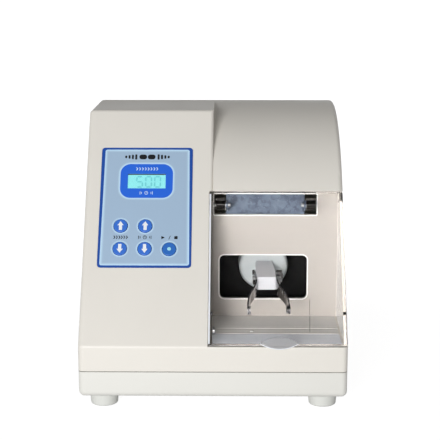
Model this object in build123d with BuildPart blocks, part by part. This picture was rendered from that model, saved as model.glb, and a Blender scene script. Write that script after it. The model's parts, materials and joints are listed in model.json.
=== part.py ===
import os
from math import cos, degrees, radians, sin, tan

from build123d import *

os.makedirs("parts", exist_ok=True)

# Dental amalgamator. X to the right, Y to the back, Z up, origin under the middle of the case.
# Driving dimensions in mm.
WIDTH = 205.0
HALF = WIDTH / 2
FRONT = -112.2          # Y of the lip's front face
DEPTH = 223.0           # lip to rear wall
BACK = FRONT + DEPTH
TRAY_Z = 12.0           # underside of the tray, on its feet
SEAM_Z = 32.0           # joint of tray and upper housing
DECK_Z = 52.0           # top of the lip and floor of the chamber
TOP_Z = 219.0
SLOPE = radians(34.0)   # console, measured from the vertical
WALL = 3.0
REAR_R = 34.0           # rounding of the rear top edge
EDGE_R = 4.0
SEAM_GAP = 0.6          # shadow groove between tray and housing
SKIN = 0.8              # left in front of a blind screw hole

# Chamber on the right
STEP_X = -1.0           # right face of the console block above the lid
REBATE_X = -4.0         # right face of the console block beside the lid
PART_X = -7.0           # inner face of the partition
BACK_WALL = 86.0        # front face of the chamber's back wall, behind the lip
LID_T = 129.0           # lower edge of the hood, up the slope
WINDOW = (4.1, 75.4, 67.1, 103.4)
SLOT = (-0.3, 82.6, 137.0, 154.0)
WINDOW_MID = ((WINDOW[0] + WINDOW[1]) / 2, (WINDOW[2] + WINDOW[3]) / 2)
SLOT_MID = ((SLOT[0] + SLOT[1]) / 2, (SLOT[2] + SLOT[3]) / 2)

# Lid hinge, up the slope and in from its face
HINGE_T = 120.0
HINGE_N = 7.5
RELIEF_R = 11.8
ROD_R = 1.5
ROD_PLAY = 0.05

# Control panel, across and up the slope
PANEL_X = -HALF + 12.0
PANEL = (PANEL_X, PANEL_X + 73.1, 64.0, 167.0)
RECESS = 0.5
LCD = (PANEL_X + 21.5, PANEL_X + 51.7, 131.2, 144.2)
PANEL_MID = ((PANEL[0] + PANEL[1]) / 2, (PANEL[2] + PANEL[3]) / 2)
LCD_MID = ((LCD[0] + LCD[1]) / 2, (LCD[2] + LCD[3]) / 2)
KEY_R = 5.45
KEY_HOLE_R = 5.85
KEYS = {
    "key_speed_up": (PANEL_X + 17.2, 98.8),
    "key_timer_up": (PANEL_X + 36.6, 98.8),
    "key_speed_down": (PANEL_X + 17.2, 79.6),
    "key_timer_down": (PANEL_X + 36.6, 79.6),
    "key_start_stop": (PANEL_X + 55.8, 79.3),
}
BOARD_N = 12.0          # control board, in from the console's face
BOARD_MID = (PANEL_X + 36.5, 115.0)
BOARD_HOLES = [(BOARD_MID[0] + x, BOARD_MID[1] + t) for x in (-33.0, 33.0) for t in (-46.0, 46.0)]

# Drive
DRIVE_X = 39.8
DRIVE_Z = 92.5
SHAFT_R = 3.0
WOBBLE_Q = BACK_WALL + 20.0     # point that the arm nutates about, behind the lip
TILT_RIGHT = radians(2.8)
TILT_DOWN = radians(3.4)
HUB_R = 20.1
HUB_EDGE = 4.5          # rounding of the hub's front
JOURNAL_R = 5.0
HOLDER_F = 45.0         # front face of the holder, forward of the wobble point
TIP_F = 70.0            # prong tips
TIP_U = 15.2            # half the capsule's length
BRACKET_Q = WOBBLE_Q + 23.0     # front face of the motor's bracket
BRACKET_Z = 22.0
BRACKET_TOP = 124.0
BRACKET_W = 62.0
MOTOR_L = DEPTH - BRACKET_Q - 42.0
LINER_Q = BACK_WALL + WALL
LINER_D = WOBBLE_Q + 18.0 - LINER_Q
POST_Q = WOBBLE_Q + 4.5         # plane of the spring posts' grooves

FOOT_X = HALF - 17.5
FOOT_Q = (23.0, DEPTH - 23.0)
ISOLATORS = [(DRIVE_X + x, FRONT + BRACKET_Q + q) for x in (-22, 22) for q in (13, 51)]
FEET = [(x, FRONT + q) for x in (-FOOT_X, FOOT_X) for q in FOOT_Q]
SUPPLY_X = -HALF + 40.0         # middle of the power board and the transformer
SUPPLY_Q = DEPTH - 111.0        # middle of the power board
CORE_Q = DEPTH - 71.0           # front face of the transformer

# Screws into the back of the chamber's back wall, and beside the power inlet
HINGE_SCREWS = [(20.0, 159.0), (62.3, 159.0), (20.0, 133.3), (62.3, 133.3)]
LINER_SCREWS = [(-3.2, 62.0), (83.2, 62.0), (-3.2, 122.0), (83.2, 122.0)]
INLET_X = -HALF + 44.5
INLET_Z = 84.0
SWITCH_Z = INLET_Z + 15
INLET_SCREWS = [(INLET_X - 16.2, INLET_Z), (INLET_X + 16.2, INLET_Z)]


def deep(q):
    """Y of a point q behind the lip's front face."""
    return FRONT + q


def slope(t, n):
    """(Y, Z) of a point t up the console and n in from its face."""
    return (FRONT + t * sin(SLOPE) + n * cos(SLOPE), DECK_Z + t * cos(SLOPE) - n * sin(SLOPE))


def cross_section(x):
    """Plane whose local axes are Y and Z, at x, facing +X."""
    return Plane(origin=(x, 0, 0), x_dir=(0, 1, 0), z_dir=(1, 0, 0))


def upright(q):
    """Plane whose local axes are X and Z, at q behind the lip, facing the front."""
    return Plane(origin=(0, deep(q), 0), x_dir=(1, 0, 0), z_dir=(0, -1, 0))


CONSOLE = Plane(origin=(0, FRONT, DECK_Z), x_dir=(1, 0, 0), z_dir=(0, -cos(SLOPE), sin(SLOPE)))
HINGE = slope(HINGE_T, HINGE_N)
CREST_T = (TOP_Z - DECK_Z) / cos(SLOPE)
CONSOLE_TOP = slope(CREST_T, 0)
# Hood: an arc tangent to the console's slope just above the seam and to the level top.
HOOD_TURN = radians(90) - SLOPE
HOOD_L = 0.98 * min(CREST_T - LID_T, BACK - REAR_R - CONSOLE_TOP[0])
HOOD_R = HOOD_L / tan(HOOD_TURN / 2)
HOOD_C = (CONSOLE_TOP[0] + HOOD_L, TOP_Z - HOOD_R)


def console_outline(low):
    """Side view of the console block, closed at the height low."""
    Polyline((BACK, low), (FRONT, low), (FRONT, DECK_Z), CONSOLE_TOP, (BACK - REAR_R, TOP_Z))
    CenterArc((BACK - REAR_R, TOP_Z - REAR_R), REAR_R, 0, 90)
    Line((BACK, TOP_Z - REAR_R), (BACK, low))


def hood_outline(low):
    """Side view of the hood and chamber, closed at the height low."""
    Polyline((BACK, low), (FRONT, low), (FRONT, DECK_Z), slope(CREST_T - HOOD_L, 0))
    CenterArc(HOOD_C, HOOD_R, 90, degrees(HOOD_TURN))
    Line((HOOD_C[0], TOP_Z), (BACK - REAR_R, TOP_Z))
    CenterArc((BACK - REAR_R, TOP_Z - REAR_R), REAR_R, 0, 90)
    Line((BACK, TOP_Z - REAR_R), (BACK, low))


# ---- case ----------------------------------------------------------------------------------
with BuildPart() as upper_housing:
    with BuildSketch(cross_section(-HALF)):
        with BuildLine():
            console_outline(SEAM_Z)
        make_face()
    extrude(amount=HALF + STEP_X)
    with BuildSketch(cross_section(STEP_X)):
        with BuildLine():
            hood_outline(SEAM_Z)
        make_face()
    extrude(amount=HALF - STEP_X)
    sides = upper_housing.edges().filter_by_position(Axis.X, -HALF, -HALF)
    sides += upper_housing.edges().filter_by_position(Axis.X, HALF, HALF)
    sides = sides.filter_by(lambda e: e.center().Z > SEAM_Z + 1)
    crest = upper_housing.edges().filter_by(Axis.X)
    crest = crest.filter_by(lambda e: abs(e.center().Z - TOP_Z) < 0.1 and e.center().Y < CONSOLE_TOP[0] + 1)
    crease = upper_housing.edges().filter_by(Axis.X)
    crease = crease.filter_by(lambda e: abs(e.center().Z - DECK_Z) < 0.1 and e.center().Y < FRONT + 0.1)
    fillet(sides + crest + crease, radius=EDGE_R)
    # shadow groove over the tray
    with BuildSketch(Plane.XY.offset(SEAM_Z)):
        with Locations((0, deep(DEPTH / 2))):
            Rectangle(WIDTH + 2, DEPTH + 2)
            RectangleRounded(
                WIDTH - 2 * SEAM_GAP, DEPTH - 2 * SEAM_GAP, EDGE_R - SEAM_GAP, mode=Mode.SUBTRACT
            )
    extrude(amount=SEAM_GAP, mode=Mode.SUBTRACT)
    # hollow console block
    with BuildSketch(cross_section(-HALF + WALL)):
        with BuildLine():
            console_outline(SEAM_Z - 10)
        make_face()
        offset(amount=-WALL, kind=Kind.INTERSECTION, mode=Mode.REPLACE)
    extrude(amount=PART_X + HALF - WALL, mode=Mode.SUBTRACT)
    # hollow body behind the chamber
    with BuildSketch(cross_section(PART_X - 1)):
        with BuildLine():
            hood_outline(SEAM_Z - 10)
        make_face()
        offset(amount=-WALL, kind=Kind.INTERSECTION, mode=Mode.REPLACE)
        with Locations((deep(BACK_WALL), 120)):
            Rectangle(DEPTH, 260, align=(Align.MIN, Align.CENTER), mode=Mode.INTERSECT)
    extrude(amount=HALF - WALL - PART_X + 1, mode=Mode.SUBTRACT)
    # space under the chamber floor
    with BuildSketch(Plane.XY.offset(SEAM_Z)):
        with Locations(((PART_X + HALF - WALL) / 2, deep((WALL + BACK_WALL + WALL + 1) / 2))):
            Rectangle(HALF - WALL - PART_X, BACK_WALL + 1)
    extrude(amount=DECK_Z - WALL - SEAM_Z, mode=Mode.SUBTRACT)
    # pocket under the hood, in front of the back wall
    with BuildSketch(cross_section(STEP_X)):
        with BuildLine():
            hood_outline(SEAM_Z - 10)
        make_face()
        offset(amount=-WALL, kind=Kind.INTERSECTION, mode=Mode.REPLACE)
        with Locations((deep(BACK_WALL - 50), 150)):
            Rectangle(100, 60, mode=Mode.INTERSECT)
    extrude(amount=HALF - WALL - STEP_X, mode=Mode.SUBTRACT)
    # chamber, open to the front and the right, and the relief round the hinge
    with BuildSketch(cross_section(REBATE_X)):
        with Locations((deep(BACK_WALL / 2 - 5), (DECK_Z + HINGE[1]) / 2)):
            Rectangle(BACK_WALL + 10, HINGE[1] - DECK_Z)
        with Locations(HINGE):
            Circle(RELIEF_R)
    extrude(amount=HALF - REBATE_X + 5, mode=Mode.SUBTRACT)
    # rounded right edge of the console above the lid
    start = slope(LID_T - 2, 0)
    edge_plane = Plane(origin=(STEP_X, *start), x_dir=(1, 0, 0), z_dir=(0, sin(SLOPE), cos(SLOPE)))
    with BuildSketch(edge_plane):
        with BuildLine():
            Polyline((-2.5, 0), (-2.5, -1), (0, -1), (0, 2.5))
            CenterArc((-2.5, 2.5), 2.5, -90, 90)
        make_face()
    extrude(amount=75, mode=Mode.SUBTRACT)
    # control panel: recess, display opening, key holes
    with BuildSketch(CONSOLE.offset(-RECESS)):
        with Locations(PANEL_MID):
            RectangleRounded(PANEL[1] - PANEL[0] + 0.4, PANEL[3] - PANEL[2] + 0.4, 2.7)
    extrude(amount=2, mode=Mode.SUBTRACT)
    with BuildSketch(CONSOLE.offset(1)):
        with Locations(LCD_MID):
            Rectangle(LCD[1] - LCD[0] + 3, LCD[3] - LCD[2] + 3)
        with Locations(*KEYS.values()):
            Circle(KEY_HOLE_R)
    extrude(amount=-6, mode=Mode.SUBTRACT)
    # stand-offs for the control board
    with BuildSketch(CONSOLE.offset(-(WALL - 0.5))):
        with Locations(*BOARD_HOLES):
            Circle(3)
    extrude(amount=-(BOARD_N - WALL + 0.5))
    with BuildSketch(CONSOLE.offset(-BOARD_N)):
        with Locations(*BOARD_HOLES):
            Circle(1.2)
    extrude(amount=6, mode=Mode.SUBTRACT)
    # screw columns over the feet, ribbed to the side walls
    for x, y in FEET:
        high = DECK_Z - 2 if x > 0 and y < 0 else 66
        side = HALF - 1 if x > 0 else 1 - HALF
        with BuildSketch(Plane.XY.offset(SEAM_Z)):
            with Locations((x, y)):
                Circle(5)
            with Locations(((x + side) / 2, y)):
                Rectangle(HALF - 1 - FOOT_X, 2.5)
        extrude(amount=high - SEAM_Z)
    with BuildSketch(Plane.XY.offset(SEAM_Z)):
        with Locations(*FEET):
            Circle(1.9)
    extrude(amount=13, mode=Mode.SUBTRACT)
    # rear wall: opening for the power inlet, vents
    with BuildSketch(upright(DEPTH - WALL - 2)):
        with Locations((INLET_X, INLET_Z)):
            Rectangle(27, 48)
        with Locations(*INLET_SCREWS):
            Circle(1.4)
        with GridLocations(0, 7.5, 1, 7):
            with Locations((45, 80)):
                SlotOverall(56, 3)
    extrude(amount=-10, mode=Mode.SUBTRACT)
upper_housing.part.label = "upper_housing"
export_step(upper_housing.part, "parts/upper_housing.step")

# Back wall of the chamber, bonded to the housing's floor, partition and hood.
with BuildPart() as chamber_back:
    with BuildSketch(cross_section(PART_X)):
        with BuildLine():
            hood_outline(DECK_Z - 2 * WALL)
        make_face()
        offset(amount=-WALL, kind=Kind.INTERSECTION, mode=Mode.REPLACE)
        with Locations((deep(BACK_WALL), DECK_Z - WALL)):
            Rectangle(WALL, 260, align=(Align.MIN, Align.MIN), mode=Mode.INTERSECT)
    extrude(amount=HALF - WALL - PART_X)
    # window and hinge slot
    with BuildSketch(upright(BACK_WALL - 1)):
        with Locations(WINDOW_MID):
            RectangleRounded(WINDOW[1] - WINDOW[0], WINDOW[3] - WINDOW[2], 4)
        with Locations(SLOT_MID):
            RectangleRounded(SLOT[1] - SLOT[0], SLOT[3] - SLOT[2], 1)
    extrude(amount=-(WALL + 2), mode=Mode.SUBTRACT)
    # blind screw holes in its rear
    with BuildSketch(upright(BACK_WALL + SKIN)):
        with Locations(*HINGE_SCREWS):
            Circle(1.2)
        with Locations(*LINER_SCREWS):
            Circle(1.1)
    extrude(amount=-WALL, mode=Mode.SUBTRACT)
chamber_back.part.label = "chamber_back"
export_step(chamber_back.part, "parts/chamber_back.step")

with BuildPart() as base_tray:
    with BuildSketch(Plane.XY.offset(SEAM_Z)):
        with Locations((0, deep(DEPTH / 2))):
            RectangleRounded(WIDTH, DEPTH, EDGE_R)
    with BuildSketch(Plane.XY.offset(TRAY_Z)):
        with Locations((0, deep(DEPTH / 2))):
            RectangleRounded(WIDTH - 9, DEPTH - 9, 9)
    loft(ruled=True)
    underside = base_tray.faces().sort_by(Axis.Z)[0]
    fillet(underside.edges(), radius=5)
    with BuildSketch(Plane.XY.offset(SEAM_Z)):
        with Locations((0, deep(DEPTH / 2))):
            RectangleRounded(WIDTH - 2 * WALL, DEPTH - 2 * WALL, 1.5)
    with BuildSketch(Plane.XY.offset(TRAY_Z + WALL)):
        with Locations((0, deep(DEPTH / 2))):
            RectangleRounded(WIDTH - 2 * WALL - 8, DEPTH - 2 * WALL - 8, 6)
    loft(ruled=True, mode=Mode.SUBTRACT)
    # posts that carry the case screws
    with BuildSketch(Plane.XY.offset(TRAY_Z + 1)):
        with Locations(*FEET):
            Circle(5.5)
    extrude(amount=SEAM_Z - TRAY_Z - 1)
    # stand-offs of the power board
    with BuildSketch(Plane.XY.offset(TRAY_Z + 1)):
        with Locations((SUPPLY_X, deep(SUPPLY_Q))):
            with GridLocations(56, 48, 2, 2):
                Circle(3)
    extrude(amount=11)
    # rails under the transformer
    with BuildSketch(Plane.XY.offset(TRAY_Z + 1)):
        with Locations((SUPPLY_X, deep(CORE_Q - 2)), (SUPPLY_X, deep(CORE_Q + 28))):
            Rectangle(58, 4)
    extrude(amount=4)
    with BuildSketch(Plane.XY.offset(TRAY_Z - 1)):
        with Locations(*FEET):
            Circle(2.1)
    extrude(amount=SEAM_Z - TRAY_Z + 2, mode=Mode.SUBTRACT)
    with BuildSketch(Plane.XY.offset(TRAY_Z + 1.2)):
        with Locations(*ISOLATORS):
            Circle(1.8)
    extrude(amount=5, mode=Mode.SUBTRACT)
    # air slots under the motor
    with BuildSketch(Plane.XY.offset(TRAY_Z - 1)):
        with GridLocations(9, 0, 8, 1):
            with Locations((0, deep(112))):
                SlotOverall(34, 3.5, rotation=90)
    extrude(amount=6, mode=Mode.SUBTRACT)
base_tray.part.label = "base_tray"
export_step(base_tray.part, "parts/base_tray.step")

for name, x, q in (
    ("foot_front_left", -FOOT_X, FOOT_Q[0]),
    ("foot_front_right", FOOT_X, FOOT_Q[0]),
    ("foot_rear_left", -FOOT_X, FOOT_Q[1]),
    ("foot_rear_right", FOOT_X, FOOT_Q[1]),
):
    with BuildPart() as foot:
        with BuildSketch(Plane.XY.offset(TRAY_Z)):
            with Locations((x, deep(q))):
                Circle(11.5)
        extrude(amount=-TRAY_Z, taper=5)
        fillet(foot.faces().sort_by(Axis.Z)[0].edges(), radius=1.5)
        with BuildSketch(Plane.XY.offset(-1)):
            with Locations((x, deep(q))):
                Circle(4.2)
        extrude(amount=6, mode=Mode.SUBTRACT)
        with BuildSketch(Plane.XY):
            with Locations((x, deep(q))):
                Circle(2.1)
        extrude(amount=TRAY_Z, mode=Mode.SUBTRACT)
    foot.part.label = name
    export_step(foot.part, f"parts/{name}.step")

with BuildPart() as foot_screws:
    for x, y in FEET:
        with Locations((x, y, 2.4)):
            Cylinder(3.6, 2.6, align=(Align.CENTER, Align.CENTER, Align.MIN))
            Cylinder(1.9, 41, align=(Align.CENTER, Align.CENTER, Align.MIN))
    with BuildSketch(Plane.XY.offset(2)):
        with Locations(*FEET):
            Rectangle(3.2, 0.9)
            Rectangle(0.9, 3.2)
    extrude(amount=1.6, mode=Mode.SUBTRACT)
foot_screws.part.label = "foot_screws"
export_step(foot_screws.part, "parts/foot_screws.step")

# ---- control panel -------------------------------------------------------------------------
with BuildPart() as control_overlay:
    with BuildSketch(CONSOLE.offset(-RECESS)):
        with Locations(PANEL_MID):
            RectangleRounded(PANEL[1] - PANEL[0], PANEL[3] - PANEL[2], 2.5)
        with Locations(LCD_MID):
            Rectangle(LCD[1] - LCD[0], LCD[3] - LCD[2], mode=Mode.SUBTRACT)
        with Locations(*KEYS.values()):
            Circle(KEY_HOLE_R, mode=Mode.SUBTRACT)
    extrude(amount=RECESS + 0.3)
control_overlay.part.label = "control_overlay"
export_step(control_overlay.part, "parts/control_overlay.step")

with BuildPart() as display_window:
    with BuildSketch(CONSOLE.offset(-WALL)):
        with Locations(LCD_MID):
            Rectangle(LCD[1] - LCD[0] + 3, LCD[3] - LCD[2] + 3)
    extrude(amount=WALL - RECESS)
display_window.part.label = "display_window"
export_step(display_window.part, "parts/display_window.step")

with BuildPart() as lcd_module:
    with BuildSketch(CONSOLE.offset(-8)):
        with Locations(LCD_MID):
            RectangleRounded(44, 25, 1)
    extrude(amount=8 - WALL)
    with BuildSketch(CONSOLE.offset(-BOARD_N)):
        with Locations((LCD_MID[0], LCD[3] + 4), (LCD_MID[0], LCD[2] - 4)):
            Rectangle(40, 2.5)
    extrude(amount=BOARD_N - 8)
lcd_module.part.label = "lcd_module"
export_step(lcd_module.part, "parts/lcd_module.step")

with BuildPart() as control_board:
    with BuildSketch(CONSOLE.offset(-BOARD_N)):
        with Locations(BOARD_MID):
            RectangleRounded(74, 100, 2)
        with Locations(*BOARD_HOLES):
            Circle(1.2, mode=Mode.SUBTRACT)
    extrude(amount=-1.6)
    # microcontroller, connector and two capacitors on the back
    with BuildSketch(CONSOLE.offset(-BOARD_N - 1.6)):
        with Locations((BOARD_MID[0], BOARD_MID[1] + 3)):
            Rectangle(14, 14)
    extrude(amount=-2.2)
    with BuildSketch(CONSOLE.offset(-BOARD_N - 1.6)):
        with Locations((BOARD_MID[0], BOARD_MID[1] - 41)):
            Rectangle(26, 6)
    extrude(amount=-8)
    with BuildSketch(CONSOLE.offset(-BOARD_N - 1.6)):
        with Locations((BOARD_MID[0] - 26, BOARD_MID[1] + 15), (BOARD_MID[0] - 26, BOARD_MID[1] + 27)):
            Circle(3.5)
    extrude(amount=-9)
control_board.part.label = "control_board"
export_step(control_board.part, "parts/control_board.step")

with BuildPart() as key_switches:
    with BuildSketch(CONSOLE.offset(-BOARD_N)):
        with Locations(*KEYS.values()):
            Rectangle(6.2, 6.2)
    extrude(amount=3.4)
    with BuildSketch(CONSOLE.offset(-BOARD_N)):
        with Locations(*KEYS.values()):
            Circle(1.7)
    extrude(amount=4.2)
key_switches.part.label = "key_switches"
export_step(key_switches.part, "parts/key_switches.step")

with BuildPart() as board_screws:
    with BuildSketch(CONSOLE.offset(-BOARD_N + 5.5)):
        with Locations(*BOARD_HOLES):
            Circle(1.2)
    extrude(amount=-8)
    with BuildSketch(CONSOLE.offset(-BOARD_N - 1.6)):
        with Locations(*BOARD_HOLES):
            Circle(2.5)
    extrude(amount=-1.8)
board_screws.part.label = "board_screws"
export_step(board_screws.part, "parts/board_screws.step")

for name, (x, t) in KEYS.items():
    with BuildPart() as key:
        with BuildSketch(CONSOLE.offset(-WALL - 0.4)):
            with Locations((x, t)):
                Circle(KEY_R)
        extrude(amount=WALL + 0.4 + 1.1)
        cap = key.edges().filter_by(GeomType.CIRCLE).sort_by(Axis.Z)[-1]
        fillet(cap, radius=0.6)
        with BuildSketch(CONSOLE.offset(-WALL - 0.4)):
            with Locations((x, t)):
                Circle(KEY_R + 1.5)
        extrude(amount=-1.2)
        with BuildSketch(CONSOLE.offset(-WALL - 1.6)):
            with Locations((x, t)):
                Circle(1.6)
        extrude(amount=-2.5)
    key.part.label = name
    export_step(key.part, f"parts/{name}.step")

# ---- lid and its hinge ---------------------------------------------------------------------
KNUCKLES = (1.5, 73.4)
KNUCKLE_W = 7.4
EARS = (9.4, 71.4)
EAR_REAR = deep(BACK_WALL + WALL + 1.5)

with BuildPart() as hinge_bracket:
    with BuildSketch(upright(BACK_WALL + WALL)):
        with Locations(((EARS[0] + EARS[1] + 1.5) / 2, 145.75)):
            Rectangle(EARS[1] + 1.5 - EARS[0], 32.5)
        with Locations(*HINGE_SCREWS):
            Circle(1.2, mode=Mode.SUBTRACT)
    extrude(amount=-1.5)
    for x in EARS:
        with BuildSketch(cross_section(x)):
            with Locations(HINGE):
                Circle(4)
            with BuildLine():
                Polyline(
                    (HINGE[0], HINGE[1] - 4),
                    (EAR_REAR, HINGE[1] - 8),
                    (EAR_REAR, HINGE[1] - 2),
                    (HINGE[0] + 9.3, HINGE[1] - 2),
                    (HINGE[0] + 3, HINGE[1] + 2.6),
                    (HINGE[0], HINGE[1] - 4),
                )
            make_face()
            with Locations(HINGE):
                Circle(ROD_R, mode=Mode.SUBTRACT)
        extrude(amount=1.5)
hinge_bracket.part.label = "hinge_bracket"
export_step(hinge_bracket.part, "parts/hinge_bracket.step")

# A short rod at each end, from the knuckle through the ear.
ROD_L = 12.4
with BuildPart() as hinge_rod:
    for x in (KNUCKLES[0] - 0.9, KNUCKLES[1] + KNUCKLE_W + 0.9 - ROD_L):
        with BuildSketch(cross_section(x)):
            with Locations(HINGE):
                Circle(ROD_R)
        extrude(amount=ROD_L)
    chamfer(hinge_rod.edges().filter_by(GeomType.CIRCLE), length=0.3)
hinge_rod.part.label = "hinge_rod"
export_step(hinge_rod.part, "parts/hinge_rod.step")

with BuildPart() as hinge_screws:
    with BuildSketch(upright(BACK_WALL + SKIN)):
        with Locations(*HINGE_SCREWS):
            Circle(1.2)
    extrude(amount=-(WALL - SKIN + 1.5))
    with BuildSketch(upright(BACK_WALL + WALL + 1.5)):
        with Locations(*HINGE_SCREWS):
            Circle(2.4)
    extrude(amount=-1.6)
hinge_screws.part.label = "hinge_screws"
export_step(hinge_screws.part, "parts/hinge_screws.step")

LID_LEFT = REBATE_X + 0.5
LID_SIDE = BACK_WALL - 0.6


def lid_outline():
    """Side view of the lid: front plate on the slope, side wall back to the chamber's wall."""
    top = slope(HINGE_T + 8.5, HINGE_N)
    Polyline(
        slope(1.5, 0),
        slope(HINGE_T + 8.5, 0),
        top,
        (HINGE[0] + 11.2, HINGE[1]),
        (deep(LID_SIDE), HINGE[1] - 8),
        (deep(LID_SIDE), DECK_Z + 5.2),
        (deep(LID_SIDE - 4), DECK_Z + 1.25),
        slope(1.5, 0),
    )


with BuildPart() as lid:
    with BuildSketch(cross_section(LID_LEFT)):
        with BuildLine():
            lid_outline()
        make_face()
    extrude(amount=HALF - LID_LEFT)
    right_edge = lid.edges().filter_by_position(Axis.X, HALF, HALF)
    right_edge = right_edge.filter_by(lambda e: e.length > 100 and e.center().Y < deep(60))
    fillet(right_edge, radius=EDGE_R)
    with BuildSketch(cross_section(LID_LEFT + WALL)):
        with BuildLine():
            Polyline(
                slope(-20, WALL),
                slope(160, WALL),
                (deep(BACK_WALL + 40), 200),
                (deep(BACK_WALL + 40), 0),
                slope(-20, WALL),
            )
        make_face()
    extrude(amount=HALF - WALL - LID_LEFT - WALL, mode=Mode.SUBTRACT)
    for x in KNUCKLES:
        with BuildSketch(cross_section(x)):
            with Locations(HINGE):
                Circle(4)
            with BuildLine():
                Polyline(
                    slope(HINGE_T - 4, WALL - 0.5),
                    slope(HINGE_T + 4, WALL - 0.5),
                    slope(HINGE_T + 4, HINGE_N),
                    slope(HINGE_T - 4, HINGE_N),
                    slope(HINGE_T - 4, WALL - 0.5),
                )
            make_face()
        extrude(amount=KNUCKLE_W)
    with BuildSketch(cross_section(KNUCKLES[0] - 0.5)):
        with Locations(HINGE):
            Circle(ROD_R + ROD_PLAY)
    extrude(amount=84, mode=Mode.SUBTRACT)
lid.part.label = "lid"
export_step(lid.part, "parts/lid.step")

with BuildPart() as lid_grip:
    with BuildSketch(CONSOLE.offset(0.4)):
        with BuildLine():
            ThreePointArc((35.6, 2.6), (50.4, 7.0), (65.2, 2.6))
            ThreePointArc((65.2, 2.6), (50.4, -1.8), (35.6, 2.6))
        make_face()
    extrude(amount=2.6)
    chamfer(lid_grip.faces().sort_by(Axis.Y)[0].edges(), length=0.9)
    with BuildSketch(CONSOLE):
        with Locations((50.4, 4)):
            Rectangle(16, 3)
    extrude(amount=0.6)
lid_grip.part.label = "lid_grip"
export_step(lid_grip.part, "parts/lid_grip.step")

with BuildPart() as lid_magnet:
    with BuildSketch(cross_section(LID_LEFT + WALL)):
        with Locations((deep(22), 58.5)):
            Circle(3)
    extrude(amount=2)
lid_magnet.part.label = "lid_magnet"
export_step(lid_magnet.part, "parts/lid_magnet.step")

with BuildPart() as reed_switch:
    with BuildSketch(cross_section(PART_X)):
        with Locations((deep(22), 58)):
            Rectangle(20, 6)
    extrude(amount=-1.2)
    with BuildSketch(upright(14)):
        with Locations((PART_X - 2.4, 58)):
            Circle(1.4)
    extrude(amount=-16)
reed_switch.part.label = "reed_switch"
export_step(reed_switch.part, "parts/reed_switch.step")

# ---- behind the chamber --------------------------------------------------------------------
with BuildPart() as chamber_liner:
    with BuildSketch(upright(LINER_Q)):
        with Locations((40, 92.25)):
            Rectangle(91, 68.5)
    extrude(amount=-2)
    with BuildSketch(upright(LINER_Q)):
        with Locations((40, 92)):
            RectangleRounded(80, 68, 5)
    extrude(amount=-LINER_D)
    with BuildSketch(upright(LINER_Q)):
        with Locations((40, 92)):
            RectangleRounded(76, 64, 3)
    extrude(amount=2 - LINER_D, mode=Mode.SUBTRACT)
    with BuildSketch(upright(LINER_Q)):
        with Locations((DRIVE_X, DRIVE_Z)):
            Circle(12)
        with Locations(*LINER_SCREWS):
            Circle(1.1)
    extrude(amount=-(LINER_D + 5), mode=Mode.SUBTRACT)
chamber_liner.part.label = "chamber_liner"
export_step(chamber_liner.part, "parts/chamber_liner.step")

with BuildPart() as liner_screws:
    with BuildSketch(upright(BACK_WALL + SKIN)):
        with Locations(*LINER_SCREWS):
            Circle(1.1)
    extrude(amount=-(WALL - SKIN + 2))
    with BuildSketch(upright(LINER_Q + 2)):
        with Locations(*LINER_SCREWS):
            Circle(1.9)
    extrude(amount=-1.4)
liner_screws.part.label = "liner_screws"
export_step(liner_screws.part, "parts/liner_screws.step")

# ---- motor ---------------------------------------------------------------------------------
BELL_SCREWS = [(DRIVE_X + 14.5 * i, DRIVE_Z + 14.5 * j) for i in (-1, 1) for j in (-1, 1)]


def drive_disc(q, radius, depth, mode=Mode.ADD):
    """Round solid on the motor's axis, from q backwards by depth."""
    with Locations(Location(Plane(origin=(DRIVE_X, deep(q), DRIVE_Z), x_dir=(1, 0, 0), z_dir=(0, 1, 0)))):
        Cylinder(radius, depth, align=(Align.CENTER, Align.CENTER, Align.MIN), mode=mode)


def drive_bore(q, radius, depth):
    """Round hole on the motor's axis, from q backwards by depth."""
    drive_disc(q, radius, depth, Mode.SUBTRACT)


with BuildPart() as motor_bracket:
    with BuildSketch(upright(BRACKET_Q)):
        with Locations((DRIVE_X, (BRACKET_Z + BRACKET_TOP) / 2)):
            RectangleRounded(BRACKET_W, BRACKET_TOP - BRACKET_Z, 3)
        with Locations((DRIVE_X, DRIVE_Z)):
            Circle(9, mode=Mode.SUBTRACT)
        with Locations(*BELL_SCREWS):
            Circle(1.5, mode=Mode.SUBTRACT)
    extrude(amount=-3)
    with BuildSketch(Plane.XY.offset(BRACKET_Z)):
        with Locations((DRIVE_X, deep(BRACKET_Q + 30))):
            Rectangle(BRACKET_W, 60)
        with Locations(*ISOLATORS):
            Circle(1.8, mode=Mode.SUBTRACT)
    extrude(amount=3)
    for x in (DRIVE_X - BRACKET_W / 2 + 0.2, DRIVE_X + BRACKET_W / 2 - 2.3):
        with BuildSketch(cross_section(x)):
            with BuildLine():
                Polyline(
                    (deep(BRACKET_Q + 3), BRACKET_Z + 3),
                    (deep(BRACKET_Q + 39), BRACKET_Z + 3),
                    (deep(BRACKET_Q + 3), BRACKET_Z + 40),
                    (deep(BRACKET_Q + 3), BRACKET_Z + 3),
                )
            make_face()
        extrude(amount=2.5)
motor_bracket.part.label = "motor_bracket"
export_step(motor_bracket.part, "parts/motor_bracket.step")

with BuildPart() as isolators:
    with BuildSketch(Plane.XY.offset(TRAY_Z + WALL)):
        with Locations(*ISOLATORS):
            Circle(6.5)
            Circle(1.8, mode=Mode.SUBTRACT)
    extrude(amount=2.2)
    with BuildSketch(Plane.XY.offset(TRAY_Z + WALL)):
        with Locations(*ISOLATORS):
            Circle(4.6)
            Circle(1.8, mode=Mode.SUBTRACT)
    extrude(amount=7)
    with BuildSketch(Plane.XY.offset(TRAY_Z + WALL + 4.8)):
        with Locations(*ISOLATORS):
            Circle(6.5)
            Circle(1.8, mode=Mode.SUBTRACT)
    extrude(amount=2.2)
isolators.part.label = "isolators"
export_step(isolators.part, "parts/isolators.step")

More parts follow.
